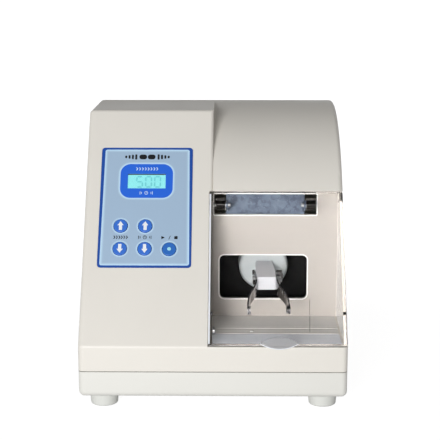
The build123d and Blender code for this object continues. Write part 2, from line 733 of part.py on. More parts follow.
with BuildPart() as bracket_screws:
    with BuildSketch(Plane.XY.offset(TRAY_Z + 1.2)):
        with Locations(*ISOLATORS):
            Circle(1.8)
    extrude(amount=BRACKET_Z + 3 - TRAY_Z - 1.2)
    with BuildSketch(Plane.XY.offset(BRACKET_Z + 3)):
        with Locations(*ISOLATORS):
            Circle(3.6)
    extrude(amount=2.4)
    with BuildSketch(Plane.XY.offset(BRACKET_Z + 4)):
        with Locations(*ISOLATORS):
            Rectangle(3.6, 0.9)
            Rectangle(0.9, 3.6)
    extrude(amount=2, mode=Mode.SUBTRACT)
bracket_screws.part.label = "bracket_screws"
export_step(bracket_screws.part, "parts/bracket_screws.step")

with BuildPart() as motor_front_bell:
    drive_disc(BRACKET_Q + 3, 27, 5)
    drive_disc(BRACKET_Q + 8, 24.9, 3)
    drive_bore(BRACKET_Q + 6.5, 22, 10)
    drive_disc(BRACKET_Q + 6, 10, 5)
    drive_bore(BRACKET_Q + 2, 5, 12)
    drive_bore(BRACKET_Q + 5.5, 8, 10)
    with BuildSketch(upright(BRACKET_Q + 2)):
        with Locations(*BELL_SCREWS):
            Circle(1.5)
    extrude(amount=-4, mode=Mode.SUBTRACT)
motor_front_bell.part.label = "motor_front_bell"
export_step(motor_front_bell.part, "parts/motor_front_bell.step")

with BuildPart() as front_bearing:
    drive_disc(BRACKET_Q + 5.5, 8, 5)
    drive_bore(BRACKET_Q + 5, 3.04, 7)
    drive_bore(BRACKET_Q + 9.9, 6.4, 1)
front_bearing.part.label = "front_bearing"
export_step(front_bearing.part, "parts/front_bearing.step")

CAN_END = BRACKET_Q + 8 + MOTOR_L
with BuildPart() as motor_can:
    drive_disc(BRACKET_Q + 8, 27, MOTOR_L)
    drive_bore(BRACKET_Q + 7, 25, MOTOR_L - 1.5)
    drive_disc(CAN_END, 10, 3)
    drive_bore(CAN_END - 5, 8, 6)
    drive_bore(CAN_END - 5, 5, 12)
    fillet(motor_can.edges().filter_by(GeomType.CIRCLE).filter_by(lambda e: e.radius > 26.9)[-1], radius=1.2)
motor_can.part.label = "motor_can"
export_step(motor_can.part, "parts/motor_can.step")

with BuildPart() as rear_bearing:
    drive_disc(CAN_END - 4, 8, 5)
    drive_bore(CAN_END - 5, 3.04, 7)
rear_bearing.part.label = "rear_bearing"
export_step(rear_bearing.part, "parts/rear_bearing.step")

with BuildPart() as stator_magnets:
    drive_disc(BRACKET_Q + 16, 25, MOTOR_L - 18)
    drive_bore(BRACKET_Q + 15, 20, MOTOR_L)
    with BuildSketch(upright(BRACKET_Q + 15)):
        with Locations((DRIVE_X, DRIVE_Z)):
            Rectangle(60, 9)
    extrude(amount=-MOTOR_L, mode=Mode.SUBTRACT)
stator_magnets.part.label = "stator_magnets"
export_step(stator_magnets.part, "parts/stator_magnets.step")

with BuildPart() as motor_screws:
    with BuildSketch(upright(BRACKET_Q - 2)):
        with Locations(*BELL_SCREWS):
            Circle(2.8)
    extrude(amount=-2)
    with BuildSketch(upright(BRACKET_Q)):
        with Locations(*BELL_SCREWS):
            Circle(1.5)
    extrude(amount=-6)
motor_screws.part.label = "motor_screws"
export_step(motor_screws.part, "parts/motor_screws.step")

with BuildPart() as motor_shaft:
    drive_disc(WOBBLE_Q + 9.5, SHAFT_R, MOTOR_L + 36)
    chamfer(motor_shaft.edges().filter_by(GeomType.CIRCLE), length=0.4)
motor_shaft.part.label = "motor_shaft"
export_step(motor_shaft.part, "parts/motor_shaft.step")

with BuildPart() as armature:
    drive_disc(BRACKET_Q + 17, 18.6, MOTOR_L - 20)
    for angle in range(0, 360, 45):
        with BuildSketch(upright(BRACKET_Q + 16)):
            with Locations((DRIVE_X, DRIVE_Z)):
                with PolarLocations(18.2, 1, angle):
                    Rectangle(5, 2)
        extrude(amount=-MOTOR_L, mode=Mode.SUBTRACT)
    drive_disc(BRACKET_Q + 13, 14, MOTOR_L - 12)
    drive_disc(BRACKET_Q + 12, 6.5, MOTOR_L - 9.5)
    drive_bore(BRACKET_Q + 10, SHAFT_R, MOTOR_L + 8)
armature.part.label = "armature"
export_step(armature.part, "parts/armature.step")

with BuildPart() as cooling_fan:
    drive_disc(CAN_END + 4.5, 7, 9)
    drive_disc(CAN_END + 4.5, 22, 1.5)
    with BuildSketch(upright(CAN_END + 6)):
        with Locations((DRIVE_X, DRIVE_Z)):
            with PolarLocations(14, 9):
                Rectangle(15.5, 1.4, rotation=14)
    extrude(amount=-7)
    drive_bore(CAN_END, SHAFT_R, 20)
cooling_fan.part.label = "cooling_fan"
export_step(cooling_fan.part, "parts/cooling_fan.step")

# ---- wobble drive --------------------------------------------------------------------------
# Frame of the arm: origin at the wobble point, local Z forward along the skewed journal,
# local X to the right, local Y up.
ARM_AXIS = Vector(tan(TILT_RIGHT), -1, -tan(TILT_DOWN)).normalized()
ARM = Plane(origin=(DRIVE_X, deep(WOBBLE_Q), DRIVE_Z), x_dir=(1, tan(TILT_RIGHT), 0), z_dir=ARM_AXIS)
ARM_PLAN = Plane(origin=ARM.origin, x_dir=ARM.x_dir, z_dir=-ARM.y_dir)
ARM_SIDE = Plane(origin=ARM.origin, x_dir=ARM.z_dir, z_dir=-ARM.x_dir)


def arm_disc(f, radius, depth, mode=Mode.ADD):
    """Round solid on the journal's axis, from f backwards by depth."""
    with Locations(Location(ARM) * Location((0, 0, f))):
        Cylinder(radius, depth, align=(Align.CENTER, Align.CENTER, Align.MAX), mode=mode)


def arm_bore(f, radius, depth):
    """Round hole on the journal's axis, from f backwards by depth."""
    arm_disc(f, radius, depth, Mode.SUBTRACT)


with BuildPart() as eccentric_journal:
    drive_disc(WOBBLE_Q + 7, 8, 8)
    arm_disc(5.6, JOURNAL_R, 14)
    chamfer(eccentric_journal.faces().sort_by(Axis.Y)[0].edges(), length=0.5)
    drive_bore(WOBBLE_Q + 9.5, SHAFT_R, 10)
eccentric_journal.part.label = "eccentric_journal"
export_step(eccentric_journal.part, "parts/eccentric_journal.step")

with BuildPart() as counterweight:
    drive_disc(WOBBLE_Q + 8.5, 15.5, 5.5)
    drive_bore(WOBBLE_Q + 8, 8, 8)
    with BuildSketch(upright(WOBBLE_Q + 8)):
        with Locations((DRIVE_X, DRIVE_Z)):
            with Locations(Location((0, 0), -50)):
                Rectangle(60, 30, align=(Align.CENTER, Align.MAX))
        with Locations((DRIVE_X, DRIVE_Z)):
            Circle(11, mode=Mode.SUBTRACT)
    extrude(amount=-8, mode=Mode.SUBTRACT)
counterweight.part.label = "counterweight"
export_step(counterweight.part, "parts/counterweight.step")

with BuildPart() as hub_bearing:
    arm_disc(5, 11, 9)
    arm_bore(6, JOURNAL_R + 0.04, 12)
    arm_bore(6, 8.6, 1.4)
hub_bearing.part.label = "hub_bearing"
export_step(hub_bearing.part, "parts/hub_bearing.step")

PINS = [(-9, 16.6), (9, 16.6)]
with BuildPart() as wobble_hub:
    arm_disc(12, HUB_R, 16)
    fillet(wobble_hub.faces().sort_by(Axis.Y)[0].edges(), radius=HUB_EDGE)
    arm_bore(5, 11, 20)
    arm_bore(8, 7, 20)
    with BuildSketch(ARM.offset(-4)):
        with Locations(*PINS):
            Circle(1.5)
    extrude(amount=-4)
wobble_hub.part.label = "wobble_hub"
export_step(wobble_hub.part, "parts/wobble_hub.step")

BOLT = (36, -4)         # forward and up, on the arm's side
BOLT_R = 1.6
with BuildPart() as holder_block:
    with BuildSketch(ARM_SIDE):
        with BuildLine():
            Polyline((12, -9), (12, 5.5), (HOLDER_F, 1.5), (HOLDER_F, -9.4), (12, -9))
        make_face()
    extrude(amount=10, both=True)
    with BuildSketch(ARM_PLAN):
        with BuildLine():
            Polyline(
                (-6.6, 12),
                (-7.6, 26),
                (-7.6, HOLDER_F),
                (7.6, HOLDER_F),
                (7.6, 26),
                (6.6, 12),
                (-6.6, 12),
            )
        make_face()
    extrude(amount=20, both=True, mode=Mode.INTERSECT)
    fillet(holder_block.edges().filter_by(lambda e: e.length > 8), radius=0.9)
    with BuildSketch(ARM_SIDE.offset(-12)):
        with Locations(BOLT):
            Circle(BOLT_R)
    extrude(amount=24, mode=Mode.SUBTRACT)
holder_block.part.label = "holder_block"
export_step(holder_block.part, "parts/holder_block.step")

with BuildPart() as holder_bolt:
    with BuildSketch(ARM_SIDE.offset(-13)):
        with Locations(BOLT):
            Circle(BOLT_R)
    extrude(amount=24)
    with BuildSketch(ARM_SIDE.offset(-11.6)):
        with Locations(BOLT):
            RegularPolygon(3.6, 6)
    extrude(amount=11.6 - 8.8)
    with BuildSketch(ARM_SIDE.offset(8.8)):
        with Locations(BOLT):
            RegularPolygon(3.6, 6)
    extrude(amount=2.0)
holder_bolt.part.label = "holder_bolt"
export_step(holder_bolt.part, "parts/holder_bolt.step")

STRIP = 1.2
for name, hand in (("prong_left", -1), ("prong_right", 1)):
    with BuildPart() as prong:
        with BuildSketch(ARM_PLAN):
            with BuildLine():
                near = Polyline((hand * 7.6, 27), (hand * 7.6, 46))
                bow = Spline(
                    (hand * 7.6, 46),
                    (hand * 12.6, 58),
                    (hand * (TIP_U + 0.6), TIP_F + 2.5),
                    tangents=[(0, 1), (hand * 0.04, 1)],
                )
                Line((hand * (TIP_U + 0.6), TIP_F + 2.5), (hand * (TIP_U + 0.6 + STRIP), TIP_F + 2.5))
                Spline(
                    (hand * (TIP_U + 0.6 + STRIP), TIP_F + 2.5),
                    (hand * (12.6 + STRIP), 57.6),
                    (hand * (7.6 + STRIP), 45.6),
                    tangents=[(-hand * 0.04, -1), (0, -1)],
                )
                Polyline((hand * (7.6 + STRIP), 45.6), (hand * (7.6 + STRIP), 27), (hand * 7.6, 27))
            make_face()
        extrude(amount=40, both=True)
        with BuildSketch(ARM_SIDE):
            with BuildLine():
                Polyline((26, -9), (26, 1), (47, 0), (TIP_F + 1, -14.6))
                ThreePointArc((TIP_F + 1, -14.6), (TIP_F + 2.6, -18), (TIP_F, -21.4))
                Polyline((TIP_F, -21.4), (45, -9), (26, -9))
            make_face()
        extrude(amount=40, both=True, mode=Mode.INTERSECT)
        # cup that takes the capsule's end
        with BuildSketch(ARM_SIDE.offset(-hand * (TIP_U - 1.2))):
            with Locations((TIP_F - 1.6, -18)):
                Circle(3.2)
                Circle(2.0, mode=Mode.SUBTRACT)
        extrude(amount=-hand * 2.2)
        with BuildSketch(ARM_SIDE.offset(-20)):
            with Locations(BOLT):
                Circle(BOLT_R)
        extrude(amount=40, mode=Mode.SUBTRACT)
    prong.part.label = name
    export_step(prong.part, f"parts/{name}.step")

# ---- springs that hold the hub from turning ------------------------------------------------
POSTS = [(DRIVE_X - 26, 118), (DRIVE_X + 26, 118)]
with BuildPart() as spring_posts:
    with BuildSketch(upright(POST_Q - 2.5)):
        with Locations(*POSTS):
            Circle(1.5)
    extrude(amount=-(LINER_Q + LINER_D - 2 - POST_Q + 2.5))
    with BuildSketch(upright(POST_Q - 3.3)):
        with Locations(*POSTS):
            Circle(2.4)
    extrude(amount=-0.8)
spring_posts.part.label = "spring_posts"
export_step(spring_posts.part, "parts/spring_posts.step")

WIRE = 0.4
for name, pin, post in (("spring_left", PINS[0], POSTS[0]), ("spring_right", PINS[1], POSTS[1])):
    low = ARM.from_local_coords(Vector(pin[0], pin[1], -6))
    high = Vector(post[0], deep(POST_Q), post[1])
    along = (high - low).normalized()
    reach = (high - low).length
    coil = reach - 11
    with BuildPart() as spring:
        with BuildLine():
            wind = Helix(pitch=coil / 7, height=coil, radius=2.0, center=low + along * 5.5, direction=along)
        with BuildSketch(Plane(origin=wind @ 0, z_dir=wind % 0)):
            Circle(WIRE)
        sweep()
        # straight tails with a hook to the coil, and an eye round the pin and the post
        for eye, sign in ((low, 1), (high, -1)):
            tail = wind @ (0 if sign == 1 else 1)
            foot_point = eye + along * (sign * 1.9)
            with BuildLine():
                Line(foot_point, tail)
            with BuildSketch(Plane(origin=foot_point, z_dir=(tail - foot_point))):
                Circle(WIRE)
            sweep()
        with Locations(Location(Plane(origin=low, z_dir=ARM_AXIS))):
            Torus(1.5 + WIRE, WIRE)
        with Locations(Location(Plane(origin=high, z_dir=(0, 1, 0)))):
            Torus(1.5 + WIRE, WIRE)
    spring.part.label = name
    export_step(spring.part, f"parts/{name}.step")

# ---- supply --------------------------------------------------------------------------------
with BuildPart() as transformer_core:
    with BuildSketch(upright(CORE_Q)):
        with Locations((SUPPLY_X, 17)):
            Rectangle(54, 44, align=(Align.CENTER, Align.MIN))
        with Locations((SUPPLY_X - 12.5, 39), (SUPPLY_X + 12.5, 39)):
            Rectangle(9, 26, mode=Mode.SUBTRACT)
    extrude(amount=-26)
transformer_core.part.label = "transformer_core"
export_step(transformer_core.part, "parts/transformer_core.step")

with BuildPart() as transformer_coil:
    with BuildSketch(Plane.XY.offset(26)):
        with Locations((SUPPLY_X, deep(CORE_Q + 13))):
            RectangleRounded(34, 42, 4)
    extrude(amount=26)
    with BuildSketch(upright(CORE_Q)):
        with Locations((SUPPLY_X - 25, 39), (SUPPLY_X, 39), (SUPPLY_X + 25, 39)):
            Rectangle(16, 60)
        with Locations((SUPPLY_X, 16), (SUPPLY_X, 62)):
            Rectangle(60, 20)
    extrude(amount=-26, mode=Mode.SUBTRACT)
transformer_coil.part.label = "transformer_coil"
export_step(transformer_coil.part, "parts/transformer_coil.step")

BOARD_TOP = 25.6
with BuildPart() as power_board:
    with BuildSketch(Plane.XY.offset(BOARD_TOP - 1.6)):
        with Locations((SUPPLY_X, deep(SUPPLY_Q))):
            RectangleRounded(64, 56, 2)
    extrude(amount=1.6)
power_board.part.label = "power_board"
export_step(power_board.part, "parts/power_board.step")

with BuildPart() as power_components:
    with BuildSketch(Plane.XY.offset(BOARD_TOP)):
        with Locations((SUPPLY_X - 18, deep(SUPPLY_Q + 12))):
            Rectangle(16, 20)
        with Locations((SUPPLY_X + 18, deep(SUPPLY_Q - 20))):
            Rectangle(20, 8)
    extrude(amount=15)
    with BuildSketch(Plane.XY.offset(BOARD_TOP)):
        with Locations((SUPPLY_X + 2, deep(SUPPLY_Q + 10)), (SUPPLY_X + 16, deep(SUPPLY_Q + 10))):
            Circle(6)
    extrude(amount=22)
    with BuildSketch(Plane.XY.offset(BOARD_TOP)):
        with Locations((SUPPLY_X - 12, deep(SUPPLY_Q - 14))):
            Rectangle(24, 2)
        with Locations((SUPPLY_X - 12, deep(SUPPLY_Q - 18))):
            with GridLocations(4.4, 0, 6, 1):
                Rectangle(1.4, 8)
    extrude(amount=26)
power_components.part.label = "power_components"
export_step(power_components.part, "parts/power_components.step")

DRAWER_GAP = 0.4
with BuildPart() as power_inlet:
    with BuildSketch(upright(DEPTH)):
        with Locations((INLET_X, INLET_Z)):
            RectangleRounded(38, 54, 3)
    extrude(amount=-2)
    with BuildSketch(upright(DEPTH - 24)):
        with Locations((INLET_X, INLET_Z)):
            Rectangle(27, 48)
    extrude(amount=-24)
    # socket with its three pins
    with BuildSketch(upright(DEPTH - 14)):
        with BuildLine():
            Polyline(
                (INLET_X - 12, INLET_Z - 22),
                (INLET_X + 12, INLET_Z - 22),
                (INLET_X + 12, INLET_Z - 12),
                (INLET_X + 7, INLET_Z - 6),
                (INLET_X - 7, INLET_Z - 6),
                (INLET_X - 12, INLET_Z - 12),
                (INLET_X - 12, INLET_Z - 22),
            )
        make_face()
    extrude(amount=-20, mode=Mode.SUBTRACT)
    with BuildSketch(upright(DEPTH - 15)):
        with Locations((INLET_X, INLET_Z - 12), (INLET_X - 7, INLET_Z - 16.5), (INLET_X + 7, INLET_Z - 16.5)):
            Rectangle(2, 4)
    extrude(amount=-12)
    # pocket of the fuse drawer and bay of the switch
    with BuildSketch(upright(DEPTH - 20)):
        with Locations((INLET_X, INLET_Z + 1)):
            Rectangle(22, 8)
        with Locations((INLET_X, SWITCH_Z)):
            Rectangle(22, 14)
    extrude(amount=-24, mode=Mode.SUBTRACT)
    with BuildSketch(upright(DEPTH - WALL - 1)):
        with Locations(*INLET_SCREWS):
            Circle(1.4)
    extrude(amount=-10, mode=Mode.SUBTRACT)
power_inlet.part.label = "power_inlet"
export_step(power_inlet.part, "parts/power_inlet.step")

with BuildPart() as inlet_screws:
    with BuildSketch(upright(DEPTH - 2.5)):
        with Locations(*INLET_SCREWS):
            Circle(1.4)
    extrude(amount=-4.5)
    with BuildSketch(upright(DEPTH + 2)):
        with Locations(*INLET_SCREWS):
            Circle(2.6)
    extrude(amount=-1.2)
inlet_screws.part.label = "inlet_screws"
export_step(inlet_screws.part, "parts/inlet_screws.step")

# Rocker: turns about an upright pin, rests tipped to its off side.
ROCKER = (INLET_X, deep(DEPTH - 4.5), SWITCH_Z)
ROCKER_TIP = 8.0
with BuildPart() as switch_body:
    with BuildSketch(upright(DEPTH - 20)):
        with Locations((INLET_X, SWITCH_Z)):
            Rectangle(22, 14)
    extrude(amount=-22.6)
    with BuildSketch(upright(DEPTH - 10)):
        with Locations((INLET_X, SWITCH_Z)):
            Rectangle(19.4, 11)
    extrude(amount=-14, mode=Mode.SUBTRACT)
    with Locations(ROCKER):
        Cylinder(1.55, 13.2, mode=Mode.SUBTRACT)
switch_body.part.label = "switch_body"
export_step(switch_body.part, "parts/switch_body.step")

with BuildPart() as power_rocker:
    with BuildSketch(Plane(origin=ROCKER).rotated((0, 0, -ROCKER_TIP))):
        with BuildLine():
            Polyline((-8.2, -1), (-8.6, 5.6), (0, 4.4), (8.6, 5.6), (8.2, -1), (0, -3), (-8.2, -1))
        make_face()
    extrude(amount=4.9, both=True)
    with Locations(ROCKER):
        Cylinder(1.5, 12.6)
power_rocker.part.label = "power_rocker"
export_step(power_rocker.part, "parts/power_rocker.step")

with BuildPart() as fuse_drawer:
    with BuildSketch(upright(DEPTH - 17)):
        with Locations((INLET_X, INLET_Z + 1)):
            Rectangle(22 - 2 * DRAWER_GAP, 8 - 2 * DRAWER_GAP)
    extrude(amount=-20.5)
    with BuildSketch(Plane.XY.offset(85)):
        with Locations((INLET_X, deep(DEPTH - 8))):
            Rectangle(18, 14)
    extrude(amount=6, mode=Mode.SUBTRACT)
    with Locations((INLET_X, deep(DEPTH - 8), 85.4)):
        Cylinder(2.5, 13.6, rotation=(0, 90, 0))
    with BuildSketch(upright(DEPTH + 3.5)):
        with Locations((INLET_X, INLET_Z + 1)):
            Rectangle(8, 2)
    extrude(amount=-0.9)
fuse_drawer.part.label = "fuse_drawer"
export_step(fuse_drawer.part, "parts/fuse_drawer.step")
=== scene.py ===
import json
import math

import bmesh
import bpy
from bpy.props import FloatProperty, FloatVectorProperty, PointerProperty
from mathutils import Matrix, Vector


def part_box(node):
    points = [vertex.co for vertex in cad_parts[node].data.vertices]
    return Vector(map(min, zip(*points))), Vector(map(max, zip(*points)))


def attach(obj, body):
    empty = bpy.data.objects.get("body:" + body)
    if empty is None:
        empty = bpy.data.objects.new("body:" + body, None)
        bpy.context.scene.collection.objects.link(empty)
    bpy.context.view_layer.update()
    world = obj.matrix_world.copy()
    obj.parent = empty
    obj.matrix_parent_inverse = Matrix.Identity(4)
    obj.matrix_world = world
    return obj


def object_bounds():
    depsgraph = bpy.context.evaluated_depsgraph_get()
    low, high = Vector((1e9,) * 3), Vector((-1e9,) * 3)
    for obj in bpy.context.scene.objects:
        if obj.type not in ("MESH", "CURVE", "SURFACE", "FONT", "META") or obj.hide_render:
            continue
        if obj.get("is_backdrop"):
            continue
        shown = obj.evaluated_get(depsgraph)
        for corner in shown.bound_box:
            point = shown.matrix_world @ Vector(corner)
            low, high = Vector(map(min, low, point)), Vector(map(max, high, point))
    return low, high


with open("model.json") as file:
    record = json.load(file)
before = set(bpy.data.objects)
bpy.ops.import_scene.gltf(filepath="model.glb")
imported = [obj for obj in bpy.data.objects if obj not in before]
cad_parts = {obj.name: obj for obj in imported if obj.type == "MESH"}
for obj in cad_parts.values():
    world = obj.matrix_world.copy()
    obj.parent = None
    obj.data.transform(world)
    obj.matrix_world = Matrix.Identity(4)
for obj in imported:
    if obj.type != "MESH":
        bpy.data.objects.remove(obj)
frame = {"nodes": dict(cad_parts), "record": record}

bl_info = {
    "name": "Dental Amalgamator",
    "version": (1, 0, 0),
    "blender": (4, 5, 0),
    "location": "3D View > Sidebar > Amalgamator",
    "description": "Finishes, panel print, clear lid, clamp fittings and studio for a capsule mixer",
    "category": "Object",
}

CAD_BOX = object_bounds()
NODES = frame["nodes"]
SLOT_OF = {row["node"]: row["material_slot"] for row in frame["record"]["subparts"]}
MM = 0.001


def tone(red, green, blue):
    """Linear colour of an 8-bit display colour."""
    return tuple(
        c / 12.92 if c <= 0.04045 else ((c + 0.055) / 1.055) ** 2.4
        for c in (red / 255, green / 255, blue / 255)
    )


# ---- places on the object, in millimetres ----
# Names that end in _IN are distances in from the lip, along the chamber's floor. On the
# console's slope, x runs across and t runs up from the lip.
LIP_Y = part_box("upper_housing")[0].y / MM
DECK_Z = 52.0
LEAN = math.radians(34)
BACK_WALL_Y = LIP_Y + 86
PANEL_MIDDLE = -53.9
KEYS = {  # x and t of each key
    "key_speed_up": (-73.3, 98.8),
    "key_timer_up": (-53.9, 98.8),
    "key_speed_down": (-73.3, 79.6),
    "key_timer_down": (-53.9, 79.6),
    "key_start_stop": (-34.7, 79.3),
}
RIGHT, BACK, UP = Vector((1, 0, 0)), Vector((0, 1, 0)), Vector((0, 0, 1))


def axes(origin, x_axis, y_axis, z_axis):
    """Placing matrix from an origin and three directions."""
    place = Matrix((x_axis, y_axis, z_axis)).transposed().to_4x4()
    place.translation = origin
    return place


def facing(outward, x, y, z):
    """Upright place whose Z faces a level direction."""
    return axes(Vector((x, y, z)), UP.cross(outward), UP, outward)


def at(x, y, z=0.0, turn=0.0):
    """Move within a place, turned about Z by degrees."""
    return Matrix.Translation((x, y, z)) @ Matrix.Rotation(math.radians(turn), 4, "Z")


CONSOLE = axes(
    Vector((0, LIP_Y, DECK_Z)),
    RIGHT,
    Vector((0, math.sin(LEAN), math.cos(LEAN))),
    Vector((0, -math.cos(LEAN), math.sin(LEAN))),
)
HINGE_AXIS = CONSOLE @ Vector((0, 120, -7.5))  # a point on it

# The arm: X to the right, Y up, Z forward along the skewed journal.
TILT_RIGHT = math.radians(2.8)
TILT_DOWN = math.radians(3.4)
ARM_FORWARD = Vector((math.tan(TILT_RIGHT), -1, -math.tan(TILT_DOWN))).normalized()
ARM_RIGHT = Vector((1, math.tan(TILT_RIGHT), 0)).normalized()
ARM = axes(Vector((39.8, LIP_Y + 106, 92.5)), ARM_RIGHT, ARM_FORWARD.cross(ARM_RIGHT), ARM_FORWARD)


# ---- mesh tools ----
ALIKE = 1e-5  # lengths closer than this count as one
TOUCHING = 1e-4  # points closer than this are merged
CORNER_STEPS, EDGE_STEPS = 5, 2  # segments of a rounded corner and of a rounded edge


def level(height):
    """Test for edges that lie flat at a height."""
    return lambda edge: all(abs(v.co.z - height) < ALIKE for v in edge.verts)


def upright(edge):
    """Whether an edge runs straight up."""
    start, end = (v.co for v in edge.verts)
    return (end - start).to_2d().length < ALIKE


def soften(shape, offset, segments, chosen):
    """Rounds the edges for which chosen says yes."""
    bmesh.ops.bevel(
        shape, geom=[e for e in shape.edges if chosen(e)], offset=offset, segments=segments,
        affect="EDGES", profile=0.5, material=-1,
    )


def raised(shape, height):
    """Makes a solid of a shape's flat faces."""
    made = bmesh.ops.extrude_face_region(shape, geom=shape.faces[:])["geom"]
    top = [v for v in made if isinstance(v, bmesh.types.BMVert)]
    bmesh.ops.translate(shape, verts=top, vec=(0, 0, height))
    bmesh.ops.recalc_face_normals(shape, faces=shape.faces)
    return shape


def cut_out(outline, height):
    """Plate cut to an outline."""
    shape = bmesh.new()
    shape.faces.new([shape.verts.new((x, y, 0)) for x, y in outline])
    return raised(shape, height)


def slab(width, depth, height, corner=0.0, edge=0.0):
    """Rectangular plate that stands on its underside, with rounded corners and top edge."""
    shape = bmesh.new()
    bmesh.ops.create_cube(shape, size=1.0)
    bmesh.ops.translate(shape, verts=shape.verts, vec=(0, 0, 0.5))
    bmesh.ops.scale(shape, verts=shape.verts, vec=(width, depth, height))
    if corner:
        soften(shape, corner, CORNER_STEPS, upright)
    if edge:
        soften(shape, edge, EDGE_STEPS, level(height))
    return shape


def turned(profile, steps=28):
    """Shape turned about Z from (radius, height) points."""
    shape = bmesh.new()
    points = [shape.verts.new((r, 0, z)) for r, z in profile]
    lines = [shape.edges.new(pair) for pair in zip(points, points[1:])]
    bmesh.ops.spin(
        shape, geom=points + lines, cent=(0, 0, 0), axis=(0, 0, 1), angle=2 * math.pi,
        steps=steps, use_merge=True,
    )
    bmesh.ops.remove_doubles(shape, verts=shape.verts, dist=TOUCHING)
    bmesh.ops.recalc_face_normals(shape, faces=shape.faces)
    return shape


def washer(outer, inner, height):
    """Flat ring."""
    return turned([(outer, 0), (outer, height), (inner, height), (inner, 0), (outer, 0)])


def pan_head(radius, height):
    """Domed screw head."""
    return turned([
        (0, 0), (radius, 0), (radius, height * 0.35), (radius * 0.86, height * 0.75),
        (radius * 0.5, height), (0, height * 1.05),
    ], steps=20)


def nut(across, height):
    """Hexagon nut with an eased top edge."""
    shape = bmesh.new()
    bmesh.ops.create_circle(shape, cap_ends=True, segments=6, radius=across / math.sqrt(3))
    raised(shape, height)
    soften(shape, across * 0.08, EDGE_STEPS, level(height))
    return shape


def bead(radius, angle, thick):
    """Round rod bent about Z through an angle in degrees, with its middle on X."""
    shape = bmesh.new()
    end = Matrix.Translation((radius, 0, 0)) @ Matrix.Rotation(math.radians(90), 4, "X")
    bmesh.ops.create_circle(shape, cap_ends=True, segments=10, radius=thick, matrix=end)
    bmesh.ops.spin(
        shape, geom=shape.faces[:], cent=(0, 0, 0), axis=(0, 0, 1), angle=math.radians(angle), steps=20,
    )
    bmesh.ops.transform(
        shape, matrix=Matrix.Rotation(math.radians(-angle / 2), 4, "Z"), verts=shape.verts,
    )
    bmesh.ops.recalc_face_normals(shape, faces=shape.faces)
    return shape


def opened(shape, top_rim, low_rim):
    """Ring made by opening a solid through its top and bottom, with rims of two widths."""
    def height(face):
        return face.calc_center_median().z

    top, bottom = max(shape.faces, key=height), min(shape.faces, key=height)
    for face, rim in ((top, top_rim), (bottom, low_rim)):
        bmesh.ops.inset_region(shape, faces=[face], thickness=rim, use_even_offset=True)
    inner = [edge for face in (top, bottom) for edge in face.edges]
    bmesh.ops.delete(shape, geom=[top, bottom], context="FACES_ONLY")
    bmesh.ops.bridge_loops(shape, edges=inner)
    bmesh.ops.recalc_face_normals(shape, faces=shape.faces)
    return shape


def joined(parts):
    """One shape from (shape, place) pairs."""
    whole = bmesh.new()
    for shape, place in parts:
        bmesh.ops.transform(shape, matrix=place, verts=shape.verts)
        mesh = bpy.data.meshes.new("part")
        shape.to_mesh(mesh)
        shape.free()
        whole.from_mesh(mesh)
        bpy.data.meshes.remove(mesh)
    return whole


def moved(parts, place):
    """The (shape, place) pairs carried to another place."""
    return [(shape, place @ own) for shape, own in parts]


def make_piece(name, parts, body, material, smooth=None):
    """Finished piece at its place on the object, riding on a body; smooth is in degrees."""
    shape = joined(parts)
    bmesh.ops.scale(shape, verts=shape.verts, vec=(MM, MM, MM))
    mesh = bpy.data.meshes.new(name)
    shape.to_mesh(mesh)
    shape.free()
    mesh.materials.append(material)
    if smooth is not None:
        mesh.shade_smooth()
        mesh.set_sharp_from_angle(angle=math.radians(smooth))
    piece = bpy.data.objects.new(name, mesh)
    bpy.context.scene.collection.objects.link(piece)
    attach(piece, body)


# ---- shader tools ----
def feed(tree, socket, value):
    """Joins a socket to another, or sets its value."""
    if isinstance(value, bpy.types.NodeSocket):
        tree.links.new(value, socket)
    elif value is not None:
        wide = socket.type == "RGBA" and len(value) == 3
        socket.default_value = (*value, 1.0) if wide else value


def put(tree, kind, *values, **settings):
    """Adds a node, with its inputs joined or set in order."""
    made = tree.nodes.new("ShaderNode" + kind)
    for name, value in settings.items():
        setattr(made, name, value)
    for socket, value in zip(made.inputs, values):
        feed(tree, socket, value)
    return made


def maths(tree, operation, *values):
    """Value worked out from others."""
    return put(tree, "Math", *values, operation=operation).outputs[0]


def vectors(tree, operation, *values):
    """Vector worked out from others, or the value that a length or a dot product gives."""
    made = put(tree, "VectorMath", *values, operation=operation)
    return made.outputs["Value" if operation in ("LENGTH", "DOT_PRODUCT") else "Vector"]


def mixed(tree, factor, first, second):
    """Colour between two others."""
    made = tree.nodes.new("ShaderNodeMix")
    made.data_type = "RGBA"
    feed(tree, made.inputs[0], factor)
    feed(tree, made.inputs[6], first)
    feed(tree, made.inputs[7], second)
    return made.outputs[2]


def scaled_colour(tree, colour, factor):
    """Colour made lighter or darker."""
    made = put(tree, "VectorMath", colour, operation="SCALE")
    feed(tree, made.inputs["Scale"], factor)
    return made.outputs[0]


def ranged(tree, value, low, high, out_low, out_high):
    """Value carried smoothly from one range to another."""
    made = put(tree, "MapRange", value, low, high, out_low, out_high, interpolation_type="SMOOTHSTEP")
    return made.outputs[0]


def object_place(tree):
    """Coordinates on the object, in metres."""
    return put(tree, "TexCoord").outputs["Object"]


def noise(tree, place, scale, detail, roughness=0.5):
    """Noise's two outputs, a value and a colour."""
    return put(tree, "TexNoise", place, None, scale, detail, roughness).outputs


def new_group(name, inputs, outputs):
    """Shader node group: its tree, its inputs' sockets and its outputs' sockets."""
    tree = bpy.data.node_groups.new(name, "ShaderNodeTree")
    for label, kind, default in inputs:
        socket = tree.interface.new_socket(label, in_out="INPUT", socket_type="NodeSocket" + kind)
        socket.default_value = (*default, 1.0) if kind == "Color" else default
    for label, kind in outputs:
        tree.interface.new_socket(label, in_out="OUTPUT", socket_type="NodeSocket" + kind)
    entry = tree.nodes.new("NodeGroupInput").outputs
    leave = tree.nodes.new("NodeGroupOutput").inputs
    return tree, entry, leave


